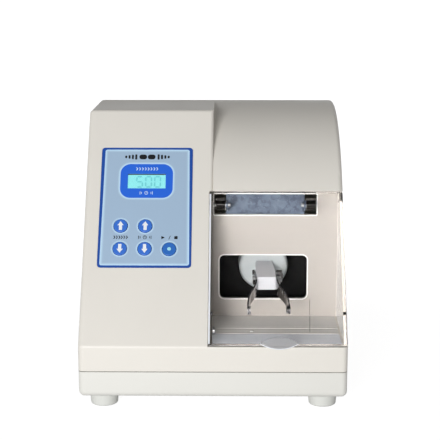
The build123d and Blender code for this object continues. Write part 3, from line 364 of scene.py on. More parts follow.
def use(tree, name, **values):
    """Places a node group, with its inputs set by name."""
    made = tree.nodes.new("ShaderNodeGroup")
    made.node_tree = bpy.data.node_groups[name]
    for label, value in values.items():
        feed(tree, made.inputs[label.replace("_", " ")], value)
    return made.outputs


FINISH_OUTPUTS = [("Colour", "Color"), ("Roughness", "Float"), ("Height", "Float")]
MOULDED_MEAN = 0.67  # middle of the moulded finish's noise
DRAWN_MEAN = 0.75  # middle of the drawn finish's noise
MOULDED_LEAST, DRAWN_LEAST = 0.02, 0.03  # least roughness of each finish


def make_moulded():
    """Moulded plastic or rubber: slight mottling, uneven gloss and a fine spark-eroded grain."""
    tree, given, out = new_group(
        "Moulded",
        [("Colour", "Color", (0.8, 0.8, 0.8)), ("Mottle", "Float", 0.04), ("Roughness", "Float", 0.4),
         ("Fineness", "Float", 1400.0)],
        FINISH_OUTPUTS,
    )
    place = object_place(tree)
    fine = noise(tree, place, given["Fineness"], 2.0, 0.6)[0]
    broad = noise(tree, place, 22.0, 3.0)[0]
    offset = maths(tree, "SUBTRACT", maths(tree, "MULTIPLY_ADD", fine, 0.35, broad), MOULDED_MEAN)
    shade = maths(tree, "MULTIPLY_ADD", offset, given["Mottle"], 1.0)
    feed(tree, out["Colour"], scaled_colour(tree, given["Colour"], shade))
    gloss = maths(tree, "MULTIPLY_ADD", offset, 0.16, given["Roughness"])
    feed(tree, out["Roughness"], maths(tree, "MAXIMUM", gloss, MOULDED_LEAST))
    feed(tree, out["Height"], fine)


def make_drawn():
    """Drawn, ground or turned metal: streaks along one direction."""
    tree, given, out = new_group(
        "Drawn",
        [("Colour", "Color", (0.6, 0.6, 0.6)), ("Streaks", "Float", 0.2), ("Roughness", "Float", 0.3),
         ("Run", "Vector", (60.0, 2500.0, 2500.0))],
        FINISH_OUTPUTS,
    )
    place = object_place(tree)
    streak = noise(tree, vectors(tree, "MULTIPLY", place, given["Run"]), 1.0, 3.0, 0.6)[0]
    cloud = noise(tree, place, 90.0, 2.0)[0]
    offset = maths(tree, "SUBTRACT", maths(tree, "MULTIPLY_ADD", cloud, 0.5, streak), DRAWN_MEAN)
    shade = maths(tree, "MULTIPLY_ADD", offset, given["Streaks"], 1.0)
    feed(tree, out["Colour"], scaled_colour(tree, given["Colour"], shade))
    swing = maths(tree, "MULTIPLY", given["Streaks"], 0.8)
    gloss = maths(tree, "MULTIPLY_ADD", offset, swing, given["Roughness"])
    feed(tree, out["Roughness"], maths(tree, "MAXIMUM", gloss, DRAWN_LEAST))
    feed(tree, out["Height"], streak)


def make_spangle():
    """Galvanised sheet: zinc crystals of differing brightness."""
    tree, given, out = new_group(
        "Spangle",
        [("Light", "Color", (0.6, 0.6, 0.7)), ("Dark", "Color", (0.2, 0.2, 0.3)), ("Size", "Float", 260.0)],
        FINISH_OUTPUTS,
    )
    place = object_place(tree)
    bend = noise(tree, place, 300.0, 2.0)[1]
    ragged = vectors(tree, "MULTIPLY_ADD", bend, (0.006, 0.006, 0.006), place)
    cells = put(tree, "TexVoronoi", ragged, None, given["Size"])
    crystal = put(tree, "SeparateXYZ", cells.outputs["Color"]).outputs[0]
    cloud = noise(tree, place, 70.0, 2.0)[0]
    brightness = ranged(tree, maths(tree, "MULTIPLY_ADD", crystal, 0.35, cloud), 0.35, 1.05, 0.0, 1.0)
    feed(tree, out["Colour"], mixed(tree, brightness, given["Dark"], given["Light"]))
    feed(tree, out["Roughness"], ranged(tree, crystal, 0.0, 1.0, 0.34, 0.56))
    feed(tree, out["Height"], crystal)


def make_panel_place():
    """Millimetres across and up the console's slope."""
    tree, _, out = new_group("Panel place", [], [("Across", "Float"), ("Up", "Float")])
    place = object_place(tree)
    sines = (0.0, math.sin(LEAN) / MM, math.cos(LEAN) / MM)
    start = LIP_Y * math.sin(LEAN) + DECK_Z * math.cos(LEAN)
    up = vectors(tree, "DOT_PRODUCT", place, sines)
    feed(tree, out["Up"], maths(tree, "SUBTRACT", up, start))
    across = put(tree, "SeparateXYZ", place).outputs[0]
    feed(tree, out["Across"], maths(tree, "DIVIDE", across, MM))


def make_rounded_box():
    """Distance outside a rounded rectangle on the panel, less than nought within it."""
    numbers = (
        ("Across", 0.0), ("Up", 0.0), ("Middle across", 0.0), ("Middle up", 0.0),
        ("Half width", 1.0), ("Half height", 1.0), ("Radius", 0.5),
    )
    tree, given, out = new_group(
        "Rounded box", [(label, "Float", value) for label, value in numbers], [("Distance", "Float")],
    )
    directions = (("Across", "Middle across", "Half width"), ("Up", "Middle up", "Half height"))
    sides = []
    for here, middle, half in directions:
        away = maths(tree, "ABSOLUTE", maths(tree, "SUBTRACT", given[here], given[middle]))
        sides.append(maths(tree, "ADD", maths(tree, "SUBTRACT", away, given[half]), given["Radius"]))
    squares = [maths(tree, "POWER", maths(tree, "MAXIMUM", side, 0.0), 2.0) for side in sides]
    outside = maths(tree, "SQRT", maths(tree, "ADD", *squares))
    inside = maths(tree, "MINIMUM", maths(tree, "MAXIMUM", *sides), 0.0)
    distance = maths(tree, "SUBTRACT", maths(tree, "ADD", outside, inside), given["Radius"])
    feed(tree, out["Distance"], distance)


def shader(name, base, roughness, **plain):
    """Material with one Principled surface; sockets are named with underscores."""
    material = bpy.data.materials.new(name)
    material.use_nodes = True
    tree = material.node_tree
    surface = tree.nodes["Principled BSDF"]
    feed(tree, surface.inputs["Base Color"], base)
    feed(tree, surface.inputs["Roughness"], roughness)
    for label, value in plain.items():
        feed(tree, surface.inputs[label.replace("_", " ")], value)
    return material, tree, surface


def wear(tree, surface, finish, grain=0.0, strength=0.5):
    """Gives a surface a finish group's colour, roughness and relief; grain is in metres."""
    feed(tree, surface.inputs["Base Color"], finish["Colour"])
    feed(tree, surface.inputs["Roughness"], finish["Roughness"])
    if grain:
        bump = tree.nodes.new("ShaderNodeBump")
        feed(tree, bump.inputs["Strength"], strength)
        feed(tree, bump.inputs["Distance"], grain)
        feed(tree, bump.inputs["Height"], finish["Height"])
        feed(tree, surface.inputs["Normal"], bump.outputs[0])


def moulded(name, colour, roughness, mottle=0.05, fineness=1400.0, grain=0.00004, **plain):
    """Plastic, rubber, lacquer or ink."""
    material, tree, surface = shader(name, colour, roughness, **plain)
    finish = use(tree, "Moulded", Colour=colour, Mottle=mottle, Roughness=roughness, Fineness=fineness)
    wear(tree, surface, finish, grain)
    return material


def drawn(name, colour, roughness, streaks, run=(60.0, 2500.0, 2500.0), grain=0.00001):
    """Metal with streaks; run holds how fine they are along each axis."""
    material, tree, surface = shader(name, colour, roughness, Metallic=1.0)
    finish = use(tree, "Drawn", Colour=colour, Streaks=streaks, Roughness=roughness, Run=run)
    wear(tree, surface, finish, grain, strength=0.3)
    return material


def clear(name, colour, roughness, shadow):
    """Clear polished plastic that lets lamps shine through it."""
    material, tree, surface = shader(name, colour, roughness, Transmission_Weight=1.0, IOR=1.2)
    smear = use(tree, "Moulded", Colour=colour, Mottle=0.02, Roughness=roughness, Fineness=160.0)
    feed(tree, surface.inputs["Roughness"], smear["Roughness"])
    shadow_ray = put(tree, "LightPath").outputs["Is Shadow Ray"]
    through = put(tree, "BsdfTransparent", shadow).outputs[0]
    blend = put(tree, "MixShader", shadow_ray, surface.outputs[0], through).outputs[0]
    feed(tree, tree.nodes["Material Output"].inputs["Surface"], blend)
    return material


def dress_node(material, node):
    """Gives a material to one node."""
    for place in NODES[node].material_slots:
        place.material = material


def dress(material, slot):
    """Gives a material to every node of a slot."""
    for node in SLOT_OF:
        if SLOT_OF[node] == slot:
            dress_node(material, node)


# ---- sizes and colours that a user would change ----
def colour_setting(name, description, *display_colour):
    """Colour that a user can change; its default is an 8-bit display colour."""
    return FloatVectorProperty(
        name=name, description=description, subtype="COLOR", default=tone(*display_colour),
    )


def number_setting(name, description, default, low=0.0, **more):
    """Number that a user can change."""
    return FloatProperty(name=name, description=description, default=default, min=low, **more)


def angle_setting(name, description, degrees):
    """Angle that a user can change."""
    return FloatProperty(
        name=name, description=description, subtype="ANGLE", default=math.radians(degrees),
    )


class CaseFinish(bpy.types.PropertyGroup):
    """Colours of the case and its mixing chamber"""

    ivory: colour_setting("Case", "Colour of the moulded case", 235, 231, 223)
    tray: colour_setting("Tray", "Colour of the base tray", 234, 233, 227)
    feet: colour_setting("Feet", "Colour of the rubber feet", 226, 227, 222)
    # the chamber's back wall is the case's own ivory moulding; its darker colour is painted shade for the
    # light the recess loses
    wall: colour_setting("Chamber wall with painted shade", "Colour of the chamber's back wall", 178, 173, 167)
    # the rims' near-white is a painted highlight on the edges of the window and the slot
    rim: colour_setting("Rims", "Colour of the rims round the window and slot", 250, 250, 248)
    floor: colour_setting("Chamber floor", "Colour of the chamber's floor mat", 226, 225, 222)
    # the pale bluish sheet on the deck is a painted reflection of the clear lid, not a real film
    deck: colour_setting("Deck", "Colour of the film behind the lip", 240, 246, 255)
    grain: number_setting("Grain", "Height of the moulded grain", 0.00004, precision=6, unit="LENGTH")


class PanelPrint(bpy.types.PropertyGroup):
    """Colours of the panel's print, keys and display"""

    film: colour_setting("Film", "Colour of the panel's film", 170, 195, 220)
    glow: colour_setting("Glow", "Pale blue round the printed shapes", 200, 232, 255)
    border: colour_setting("Border", "Dark blue line round the panel", 34, 82, 172)
    bezel: colour_setting("Bezel", "Blue round the display", 42, 108, 230)
    key: colour_setting("Keys", "Blue of the arrow keys", 60, 118, 216)
    start: colour_setting("Start key", "Blue of the start and stop key", 48, 112, 198)
    lit: colour_setting("Display", "Colour of the lit display", 140, 238, 240)
    digit: colour_setting("Digits", "Colour of the display's segments", 92, 190, 196)
    line: number_setting("Border line", "Width of the border line in millimetres", 1.5, low=0.1)


class ClampFinish(bpy.types.PropertyGroup):
    """Colours of the capsule clamp and the hinge plate"""

    hub: colour_setting("Hub", "Colour of the white hub", 180, 187, 189)
    holder: colour_setting("Holder", "Colour of the holder block", 206, 208, 213)
    chrome: colour_setting("Chrome", "Colour of the sprung prongs", 168, 166, 168)
    zinc_light: colour_setting("Zinc, light", "Light crystals of the hinge plate", 100, 112, 128)
    zinc_dark: colour_setting("Zinc, dark", "Dark crystals of the hinge plate", 64, 72, 88)


class StudioSettings(bpy.types.PropertyGroup):
    """Camera and light"""

    camera: FloatVectorProperty(
        name="Camera", description="Place of the camera", subtype="TRANSLATION", unit="LENGTH",
        default=(0.0167, -1.0239, 0.3359),
    )
    pitch: angle_setting("Pitch", "Camera's tilt below level", 11.51)
    turn: angle_setting("Turn", "Camera's turn to the left", 0.70)
    lens: number_setting("Lens", "Focal length in millimetres, on a 36 mm sensor", 102.8, low=10.0)
    front_light: number_setting("Front light", "Power of the large lamp in front, in watts", 16.2)
    bounce: number_setting("Floor", "Light that the white floor throws back up", 0.22)
    sky: number_setting("Room", "Brightness of the room at the horizon", 0.36)
    ceiling: number_setting("Ceiling", "Brightness of the room overhead", 0.2)


# ---- case ----
WALL_OPENINGS = (  # left, right, foot, top and corner radius of the window and the hinge slot
    (4.1, 75.4, 67.1, 103.4, 4.0),
    (-0.3, 82.6, 137.0, 154.0, 1.0),
)
RIM_WIDTH, RIM_HEIGHT = 0.9, 0.4
TRAY_ROUNDING, TRAY_STEPS = 4.4, 6
TRAY_RIMS = (0.6, 4.2)  # how far the tray's edge reaches in at its top and its foot
TRAY_TOP_GAP = 0.2  # from the edge's top to the tray's
SEAM_INSET, SEAM_HEIGHT, SEAM_RIM, SEAM_CORNER = 0.25, 0.5, 0.3, 3.8
SEAM_LIFT = 0.05  # above the tray's top
CHAMBER_MIDDLE, FLOOR_WIDTH, FLOOR_CORNER = 47.6, 101.5, 1.0
MAT_STEPS = ((35.2, 0.2), (49.5, 0.4))  # where each step of the mat starts, and its height
MAT_END_IN, MAT_EDGE = 85.6, 0.12
# place of the pale sheet painted as the lid's reflection on the deck
DECK_START_IN, DECK_END_IN, DECK_HEIGHT, DECK_EDGE = 4.6, 34.6, 0.1, 0.05
JOINT_WIDTH, JOINT_HEIGHT = 0.5, 0.06


class AMALGAMATOR_OT_case(bpy.types.Operator):
    """Finish the housing, tray and feet"""

    bl_idname = "amalgamator.case"
    bl_label = "Case"

    def execute(self, context):
        finish = context.scene.amalgamator_case
        grain = finish.grain
        ivory = moulded("Ivory case", finish.ivory, 0.44, mottle=0.035, fineness=1500.0, grain=grain)
        tray = moulded("Ivory tray", finish.tray, 0.42, mottle=0.03, fineness=1500.0, grain=grain)
        # darker copy of the case's ivory: painted shade on the chamber's back wall
        wall = moulded("Chamber wall with painted shade", finish.wall, 0.5, mottle=0.04, fineness=1300.0, grain=grain)
        rubber = moulded("White rubber", finish.feet, 0.62, mottle=0.06, fineness=900.0, grain=0.00006)
        dress(ivory, "case_ivory")
        dress(tray, "tray_ivory")
        dress_node(wall, "chamber_back")
        dress(rubber, "foot_white")
        self.rim_wall(finish)
        self.edge_tray(tray)
        self.line_floor(finish)
        return {"FINISHED"}

    def rim_wall(self, finish):
        """Rims of the window and hinge slot, raised from the chamber's back wall; their white is a painted
        highlight on the openings' edges.
        """
        rims = []
        for left, right, foot, top, radius in WALL_OPENINGS:
            width, height = right - left + 2 * RIM_WIDTH, top - foot + 2 * RIM_WIDTH
            plate = slab(width, height, RIM_HEIGHT, radius + RIM_WIDTH)
            place = facing(-BACK, (left + right) / 2, BACK_WALL_Y, (foot + top) / 2)
            rims.append((opened(plate, RIM_WIDTH, RIM_WIDTH), place))
        # near-white: painted highlight on the openings' edges
        white = moulded("Highlight rim", finish.rim, 0.3, mottle=0.03, fineness=1200.0, grain=0.00002)
        make_piece("wall_rim_highlights", rims, "housing", white, smooth=40)

    def edge_tray(self, material):
        """Rounded lower edge all round the tray, and the dark seam above it."""
        low, high = (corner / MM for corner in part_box("base_tray"))
        width, depth, height = (top - foot for foot, top in zip(low, high))
        middle = (low + high) / 2
        at_foot = level(0.0)
        skirt = slab(width, depth, height - TRAY_TOP_GAP)
        soften(skirt, TRAY_ROUNDING, TRAY_STEPS, lambda edge: upright(edge) or at_foot(edge))
        edge = [(opened(skirt, *TRAY_RIMS), at(middle.x, middle.y, low.z))]
        make_piece("tray_edge", edge, "housing", material, smooth=40)

        line = slab(width - 2 * SEAM_INSET, depth - 2 * SEAM_INSET, SEAM_HEIGHT, SEAM_CORNER)
        seam = [(opened(line, SEAM_RIM, SEAM_RIM), at(middle.x, middle.y, high.z + SEAM_LIFT))]
        shade = moulded("Seam shadow", tone(116, 112, 104), 0.7)
        make_piece("seam_line", seam, "housing", shade)

    def line_floor(self, finish):
        """Stepped mat on the chamber's floor; a pale bluish sheet on the deck, painted as the lid's
        reflection; the mat's joint and stud.
        """
        steps = []
        for start, height in MAT_STEPS:
            sheet = slab(FLOOR_WIDTH, MAT_END_IN - start, height, FLOOR_CORNER, MAT_EDGE)
            steps.append((sheet, at(CHAMBER_MIDDLE, LIP_Y + (start + MAT_END_IN) / 2, DECK_Z)))
        mat = moulded("Chamber mat", finish.floor, 0.5, fineness=1200.0, grain=0.00005)
        make_piece("chamber_mat", steps, "housing", mat)

        # thin pale bluish sheet over the ivory deck: painted reflection of the lid
        sheet = slab(FLOOR_WIDTH, DECK_END_IN - DECK_START_IN, DECK_HEIGHT, FLOOR_CORNER, DECK_EDGE)
        place = at(CHAMBER_MIDDLE, LIP_Y + (DECK_START_IN + DECK_END_IN) / 2, DECK_Z)
        film = moulded("Deck painted reflection", finish.deck, 0.35, mottle=0.03, fineness=1200.0, grain=0.00002)
        make_piece("deck_reflection_sheet", [(sheet, place)], "housing", film)

        (_, low_step), (_, high_step) = MAT_STEPS
        joint = [  # up the wall, and along the mat
            (slab(JOINT_WIDTH, 13.0, JOINT_HEIGHT, 0.2), facing(-BACK, 78.1, BACK_WALL_Y, 59.7)),
            (slab(JOINT_WIDTH, 46.0, JOINT_HEIGHT, 0.2), at(77.0, LIP_Y + 62.4, DECK_Z + high_step, -3.3)),
        ]
        dark = moulded("Joint shadow", tone(96, 94, 90), 0.6)
        make_piece("mat_joint", joint, "housing", dark)

        # small screw head on the mat, painted near-white as the glint of its metal: painted highlight
        stud = [(pan_head(radius=1.3, height=0.7), at(30.3, LIP_Y + 40.5, DECK_Z + low_step))]
        bright = moulded("Stud glint", tone(252, 252, 252), 0.3)
        make_piece("mat_stud_glint", stud, "housing", bright, smooth=35)


# ---- signs of the panel ----
INK = 0.05  # height of print
SEGMENTS = {  # place of each segment in quarters of the digit's height, and its turn
    "a": (0, 2, 0), "b": (1, 1, 90), "c": (1, -1, 90), "d": (0, -2, 0), "e": (-1, -1, 90),
    "f": (-1, 1, 90), "g": (0, 0, 0),
}
DIGITS = {"5": "afgcd", "0": "abcdef"}


def arrow(up, depth, edge):
    """Arrow of a key, up or down, with an eased top edge."""
    half, head, shaft, tall = 2.5, 3.4, 1.25, 7.4
    side = 1 if up else -1
    points = [
        (0, tall / 2), (-half, tall / 2 - head), (-shaft, tall / 2 - head), (-shaft, -tall / 2),
        (shaft, -tall / 2), (shaft, tall / 2 - head), (half, tall / 2 - head),
    ]
    shape = cut_out([(x, side * y) for x, y in points[::side]], depth)
    soften(shape, edge, 1, level(depth))
    return shape


def chevrons(count, pitch, size):
    """Row of arrowheads that stands for speed."""
    head = [(-0.5, -1), (0.1, -1), (0.8, 0), (0.1, 1), (-0.5, 1), (0.2, 0)]
    outline = [(x * size, y * size) for x, y in head]
    return [(cut_out(outline, INK), at((i - (count - 1) / 2) * pitch, 0)) for i in range(count)]


def clock(size, wide):
    """Clock face between two pairs of bars, which stands for the timer."""
    face = washer(size, size * 0.72, INK)
    long_hand = slab(size * 0.2, size * 0.75, INK, 0.02)
    short_hand = slab(size * 0.2, size * 0.5, INK, 0.02)
    marks = [(face, at(0, 0)), (long_hand, at(0, size * 0.3)), (short_hand, at(size * 0.2, 0, 0, -90))]
    for side in (-1, 1):
        for i, tall in enumerate((0.9, 0.6)):
            bar = slab(size * 0.34, size * 2 * tall, INK, 0.1)
            marks.append((bar, at(side * (wide / 2 - i * size * 0.8 - size * 0.2), 0)))
    return marks


def start_stop(size):
    """Triangle, stroke and square, which stand for start and stop."""
    away = size * 3.6
    play = cut_out([(-size, -size), (size, 0), (-size, size)], INK)
    stroke = slab(size * 0.35, size * 2.4, INK, 0.1)
    stop = slab(size * 1.8, size * 1.8, INK, 0.1)
    return [(play, at(-away, 0)), (stroke, at(0, 0, 0, -20)), (stop, at(away, 0))]


def capsule_sign():
    """Shaken capsule between bars, which stands for mixing."""
    marks = [(slab(6.2, 4.2, INK, 2.0), at(x, 0)) for x in (-3.4, 3.4)]
    for side in (-1, 1):
        for i, tall in enumerate((4.6, 3.8, 3.0, 2.2)):
            marks.append((slab(1.6, tall, INK, 0.5), at(side * (9.0 + i * 2.7), 0)))
    return marks


def digit(mark, x, tall):
    """Seven-segment digit."""
    quarter = tall / 4
    tip, shoulder, thick = quarter * 0.85, quarter * 0.6, quarter * 0.25
    bar = [
        (-shoulder, -thick), (shoulder, -thick), (tip, 0), (shoulder, thick), (-shoulder, thick), (-tip, 0),
    ]
    segments = []
    for name in DIGITS[mark]:
        across, up, turn = SEGMENTS[name]
        segments.append((cut_out(bar, INK), at(x + across * quarter, up * quarter, 0, turn)))
    return segments


# ---- control panel ----
# Left, right, foot, top and corner radius of the panel's shapes. The border's are from the
# panel's middle, at the height where it isn't widened.
BORDER = (-35.35, 35.35, 64.2, 166.8, 3.2)
BEZEL = (-75.0, -33.0, 122.9, 152.5, 8.2)
GLASS = (-69.2, -38.6, 131.0, 144.4, 0.3)
KEY_RADIUS = 5.6
BORDER_SPREAD, BORDER_TAPER = 1.0517, -0.00031  # the border widens towards its foot
GLOW_REACH, GLOW_GAP = 4.2, 0.2  # how far the border's pale edge reaches in, and its gap to the line
LINE_SOFT = 0.15  # to each side of the line's edge
BEZEL_GLOW, KEY_GLOW = (0.2, 2.2), (0.3, 2.0)  # where the pale edges round them fade
DIGITS_PLACE, DIGIT_TALL, DIGIT_PITCH = (-52.6, 138.3, -2.9), 9.0, 7.2
FILM_TOP, KEY_TOP = 0.3, 1.1  # how far the film and the keys stand out of the slope
START_DOME = ((0, 0), (1.5, 0), (1.35, 0.12), (0.6, 0.22), (0, 0.24))  # radius and height


class AMALGAMATOR_OT_panel(bpy.types.Operator):
    """Print the panel's film and dress the display"""

    bl_idname = "amalgamator.panel"
    bl_label = "Control panel"

    def execute(self, context):
        ink = context.scene.amalgamator_panel
        self.print_film(ink)
        self.light_display(ink)
        self.make_signs()
        return {"FINISHED"}

    def box(self, tree, left, right, foot, top, radius, across=None):
        """Distance outside one of the panel's rounded rectangles."""
        spot = use(tree, "Panel place")
        return use(
            tree, "Rounded box", Across=across or spot["Across"], Up=spot["Up"],
            Middle_across=(left + right) / 2, Middle_up=(foot + top) / 2,
            Half_width=(right - left) / 2, Half_height=(top - foot) / 2, Radius=radius,
        )["Distance"]

    def border(self, tree):
        """Distance outside the border, which widens a little towards the foot."""
        spot = use(tree, "Panel place")
        spread = maths(tree, "MULTIPLY_ADD", spot["Up"], BORDER_TAPER, BORDER_SPREAD)
        from_middle = maths(tree, "SUBTRACT", spot["Across"], PANEL_MIDDLE)
        return self.box(tree, *BORDER, across=maths(tree, "DIVIDE", from_middle, spread))

    def inside(self, tree, distance, soft=0.12):
        """One inside a shape and nought outside it."""
        return ranged(tree, distance, -soft, soft, 1.0, 0.0)

    def print_film(self, ink):
        """Film with its border, the display's bezel, and a pale edge round every shape."""
        film, tree, surface = shader("Printed film", ink.film, 0.34)
        border, bezel = self.border(tree), self.box(tree, *BEZEL)
        around_keys = None
        for x, t in KEYS.values():
            sides = (x - KEY_RADIUS, x + KEY_RADIUS, t - KEY_RADIUS, t + KEY_RADIUS)
            key = self.box(tree, *sides, KEY_RADIUS)
            around_keys = maths(tree, "MINIMUM", around_keys, key) if around_keys else key
        pale_border = ranged(tree, border, -GLOW_REACH, -ink.line - GLOW_GAP, 0.0, 1.0)
        pale_bezel = ranged(tree, bezel, *BEZEL_GLOW, 1.0, 0.0)
        pale_keys = ranged(tree, around_keys, *KEY_GLOW, 1.0, 0.0)
        line = ranged(tree, border, -ink.line - LINE_SOFT, -ink.line + LINE_SOFT, 0.0, 1.0)
        colour = mixed(tree, pale_border, ink.film, ink.glow)
        colour = mixed(tree, maths(tree, "MAXIMUM", pale_bezel, pale_keys), colour, ink.glow)
        colour = mixed(tree, self.inside(tree, bezel), colour, ink.bezel)
        colour = mixed(tree, line, colour, ink.border)
        finish = use(tree, "Moulded", Colour=colour, Mottle=0.03, Roughness=0.34, Fineness=2200.0)
        wear(tree, surface, finish, grain=0.00001)
        dress(film, "overlay_blue_grey")

    def light_display(self, ink):
        """Lit glass behind a clear window, with its digits."""
        lit, tree, surface = shader("Lit display", tone(20, 40, 44), 0.3, Emission_Strength=1.0)
        uneven = noise(tree, object_place(tree), 90.0, 2.0)[0]
        shade = scaled_colour(tree, ink.lit, maths(tree, "MULTIPLY_ADD", uneven, 0.12, 0.92))
        glass = self.inside(tree, self.box(tree, *GLASS))
        feed(tree, surface.inputs["Emission Color"], mixed(tree, glass, (0.0, 0.0, 0.0), shade))
        dress(lit, "lcd_cyan")

        pale = tone(225, 245, 246)
        cover, tree, surface = shader("Display window", pale, 0.08, Alpha=0.08)
        wear(tree, surface, use(tree, "Moulded", Colour=pale, Mottle=0.02, Roughness=0.08, Fineness=300.0))
        dress(cover, "display_clear")

        segments = []
        for i, mark in enumerate("500"):
            segments += digit(mark, (i - 1) * DIGIT_PITCH, DIGIT_TALL)
        place = CONSOLE @ at(*DIGITS_PLACE)
        colour = moulded("Display segment", ink.digit, 0.4, Emission_Color=ink.digit, Emission_Strength=0.3)
        make_piece("display_digits", moved(segments, place), "housing", colour)

    def make_signs(self):
        """Generic signs in black and white ink."""
        black = moulded("Black ink", tone(24, 26, 30), 0.4)
        white = moulded("White ink", tone(214, 236, 252), 0.4)
        signs = (
            ("sign_mixing", capsule_sign(), -53.9, 158.8, black),
            ("sign_speed", chevrons(6, pitch=1.95, size=1.35), -73.2, 89.2, black),
            ("sign_timer", clock(1.5, wide=10.4), -54.0, 89.2, black),
            ("sign_start_stop", start_stop(1.4), -34.6, 89.0, black),
            ("sign_display_speed", chevrons(8, pitch=2.3, size=1.3), -54.0, 148.2, white),
            ("sign_display_timer", clock(1.45, wide=10.4), -54.0, 127.2, white),
        )
        for name, marks, x, t, ink in signs:
            place = CONSOLE @ at(x, t, FILM_TOP)
            make_piece(name, moved(marks, place), "housing", ink)


class AMALGAMATOR_OT_keys(bpy.types.Operator):
    """Colour the five keys and mark them"""

    bl_idname = "amalgamator.keys"
    bl_label = "Keys"

    def execute(self, context):
        ink = context.scene.amalgamator_panel
        dress(moulded("Blue key", ink.key, 0.36, fineness=1800.0, grain=0.00002), "key_blue")
        start = moulded("Start key", ink.start, 0.36, fineness=1800.0, grain=0.00002)
        dress_node(start, "key_start_stop")
        white = moulded("Key mark", tone(246, 249, 252), 0.4)
        pale = moulded("Start mark", tone(170, 232, 246), 0.3)
        for node, (x, t) in KEYS.items():
            if node == "key_start_stop":
                mark, paint = turned(START_DOME), pale
            else:
                mark, paint = arrow(node.endswith("up"), depth=0.08, edge=0.03), white
            parts = [(mark, CONSOLE @ at(x, t, KEY_TOP))]
            make_piece(node + "_mark", parts, node, paint)
        return {"FINISHED"}


# ---- lid and hinge ----
KNUCKLE_EDGE = (4.8, 5.4)  # from the hinge's axis, where the shade round a knuckle fades
PLATE_EDGE = (2.8, 3.8)  # out from the hinge's axis, where the lid's flat plate starts
# LID_EDGE_PLACE and the grip's curve place the painted highlight strips
LID_EDGE_PLACE = (-2.9, 64.5)
GRIP_RADIUS, GRIP_ANGLE = 26.1, 66.0  # curve of the grip's lower edge
GRIP_MIDDLE = (50.4, 24.3, 1.7)  # of that curve
EARS = ((9.4, -1), (72.9, 1))  # x of the hinge plate's ears, and the side they face
RIVET_PROUD, RIVET_Z = 0.4, 142.0  # how far a rivet's middle stands off the wall, and its height
CLIP_IN, CLIP_Z = 73.32, 147.3  # on the hinge rod


class AMALGAMATOR_OT_lid(bpy.types.Operator):
    """Make the lid clear, with painted shade on its knuckles and grip and painted highlights along its edge
    and grip
    """

    bl_idname = "amalgamator.lid"
    bl_label = "Clear lid"

    def execute(self, context):
        acrylic = clear("Clear acrylic", tone(250, 249, 248), 0.02, shadow=tone(236, 234, 233))
        # painted shade on the clear knuckles round the hinge pins
        self.paint_knuckle_shade(acrylic.node_tree, tone(70, 68, 66))
        # grey, half see-through grip: the grey is painted shade, the shadow seen through the clear grip
        grip_shade_paint = moulded(
            "Grey grip with painted shade", tone(196, 196, 199), 0.3, mottle=0.03, fineness=900.0, grain=0.00002, Alpha=0.5,
        )
        dress(acrylic, "clear_lid")
        dress_node(grip_shade_paint, "lid_grip")
        dress_node(moulded("Magnet coating", tone(196, 192, 186), 0.6), "lid_magnet")

        # painted highlights: white strips along the lid's edge beside the console and along the grip's
        # lower side
        highlight_paint = moulded(
            "Highlight edge", tone(246, 249, 255), 0.25, mottle=0.02, fineness=900.0, grain=0.00001,
        )
        strip = [(slab(1.3, 124.0, 0.15, corner=0.2, edge=0.05), CONSOLE @ at(*LID_EDGE_PLACE))]
        make_piece("lid_edge_highlight", strip, "lid", highlight_paint)
        rim = [(bead(GRIP_RADIUS, GRIP_ANGLE, thick=0.45), CONSOLE @ at(*GRIP_MIDDLE, turn=-90))]
        make_piece("grip_rim_highlight", rim, "lid", highlight_paint, smooth=40)
        return {"FINISHED"}

    def paint_knuckle_shade(self, tree, shade):
        """Paints shade on the lid's clear plastic round its hinge pins, where they sit in the slot's dark
        ends.
        """
        beside = vectors(tree, "SUBTRACT", object_place(tree), HINGE_AXIS * MM)
        away = vectors(tree, "LENGTH", vectors(tree, "MULTIPLY", beside, (0.0, 1.0, 1.0)))
        outward = vectors(tree, "DOT_PRODUCT", beside, CONSOLE.col[2].to_3d())
        near, inner = (
            ranged(tree, value, low * MM, high * MM, 1.0, 0.0)
            for value, (low, high) in ((away, KNUCKLE_EDGE), (outward, PLATE_EDGE))
        )
        base = tree.nodes["Principled BSDF"].inputs["Base Color"]
        clear_colour = tuple(base.default_value)
        knuckle = maths(tree, "MULTIPLY", near, inner)
        feed(tree, base, mixed(tree, knuckle, clear_colour, shade))


class AMALGAMATOR_OT_hinge(bpy.types.Operator):
    """Dress the hinge plate and add its clips and rivets"""

    bl_idname = "amalgamator.hinge"
    bl_label = "Hinge plate"

    def execute(self, context):
        finish = context.scene.amalgamator_clamp
        sheet, tree, surface = shader("Galvanised sheet", finish.zinc_light, 0.45, Metallic=0.55)
        zinc = use(tree, "Spangle", Light=finish.zinc_light, Dark=finish.zinc_dark, Size=330.0)
        wear(tree, surface, zinc, grain=0.00003)
        dress(sheet, "galvanised")
        # steel rod made near-black so that it reads as the shade in the slot's ends: painted shade
        dress_node(drawn("Dark hinge steel", tone(52, 54, 58), 0.35, streaks=0.2), "hinge_rod")

        parts = []
        for x, side in EARS:
            rivet = pan_head(radius=1.7, height=1.1)
            clip = washer(outer=2.6, inner=1.45, height=0.4)
            parts.append((rivet, facing(side * RIGHT, x, BACK_WALL_Y - RIVET_PROUD, RIVET_Z)))
            parts.append((clip, facing(side * RIGHT, x, LIP_Y + CLIP_IN, CLIP_Z)))
        bright = drawn("Rivet steel", tone(222, 224, 228), 0.22, streaks=0.12)
        make_piece("hinge_rivets", parts, "housing", bright, smooth=35)
        return {"FINISHED"}


# ---- arm ----
CLAMP_SIDE = 8.8  # from the arm's middle to the prongs' outer faces
NUTS = (  # side, way forward, height, width across flats and thickness
    (-1, 31.0, 1.2, 3.6, 1.8),
    (-1, 41.0, -4.2, 3.6, 1.8),
    (1, 31.0, 0.6, 4.2, 4.4),
    (1, 26.5, -3.6, 4.2, 5.6),
)


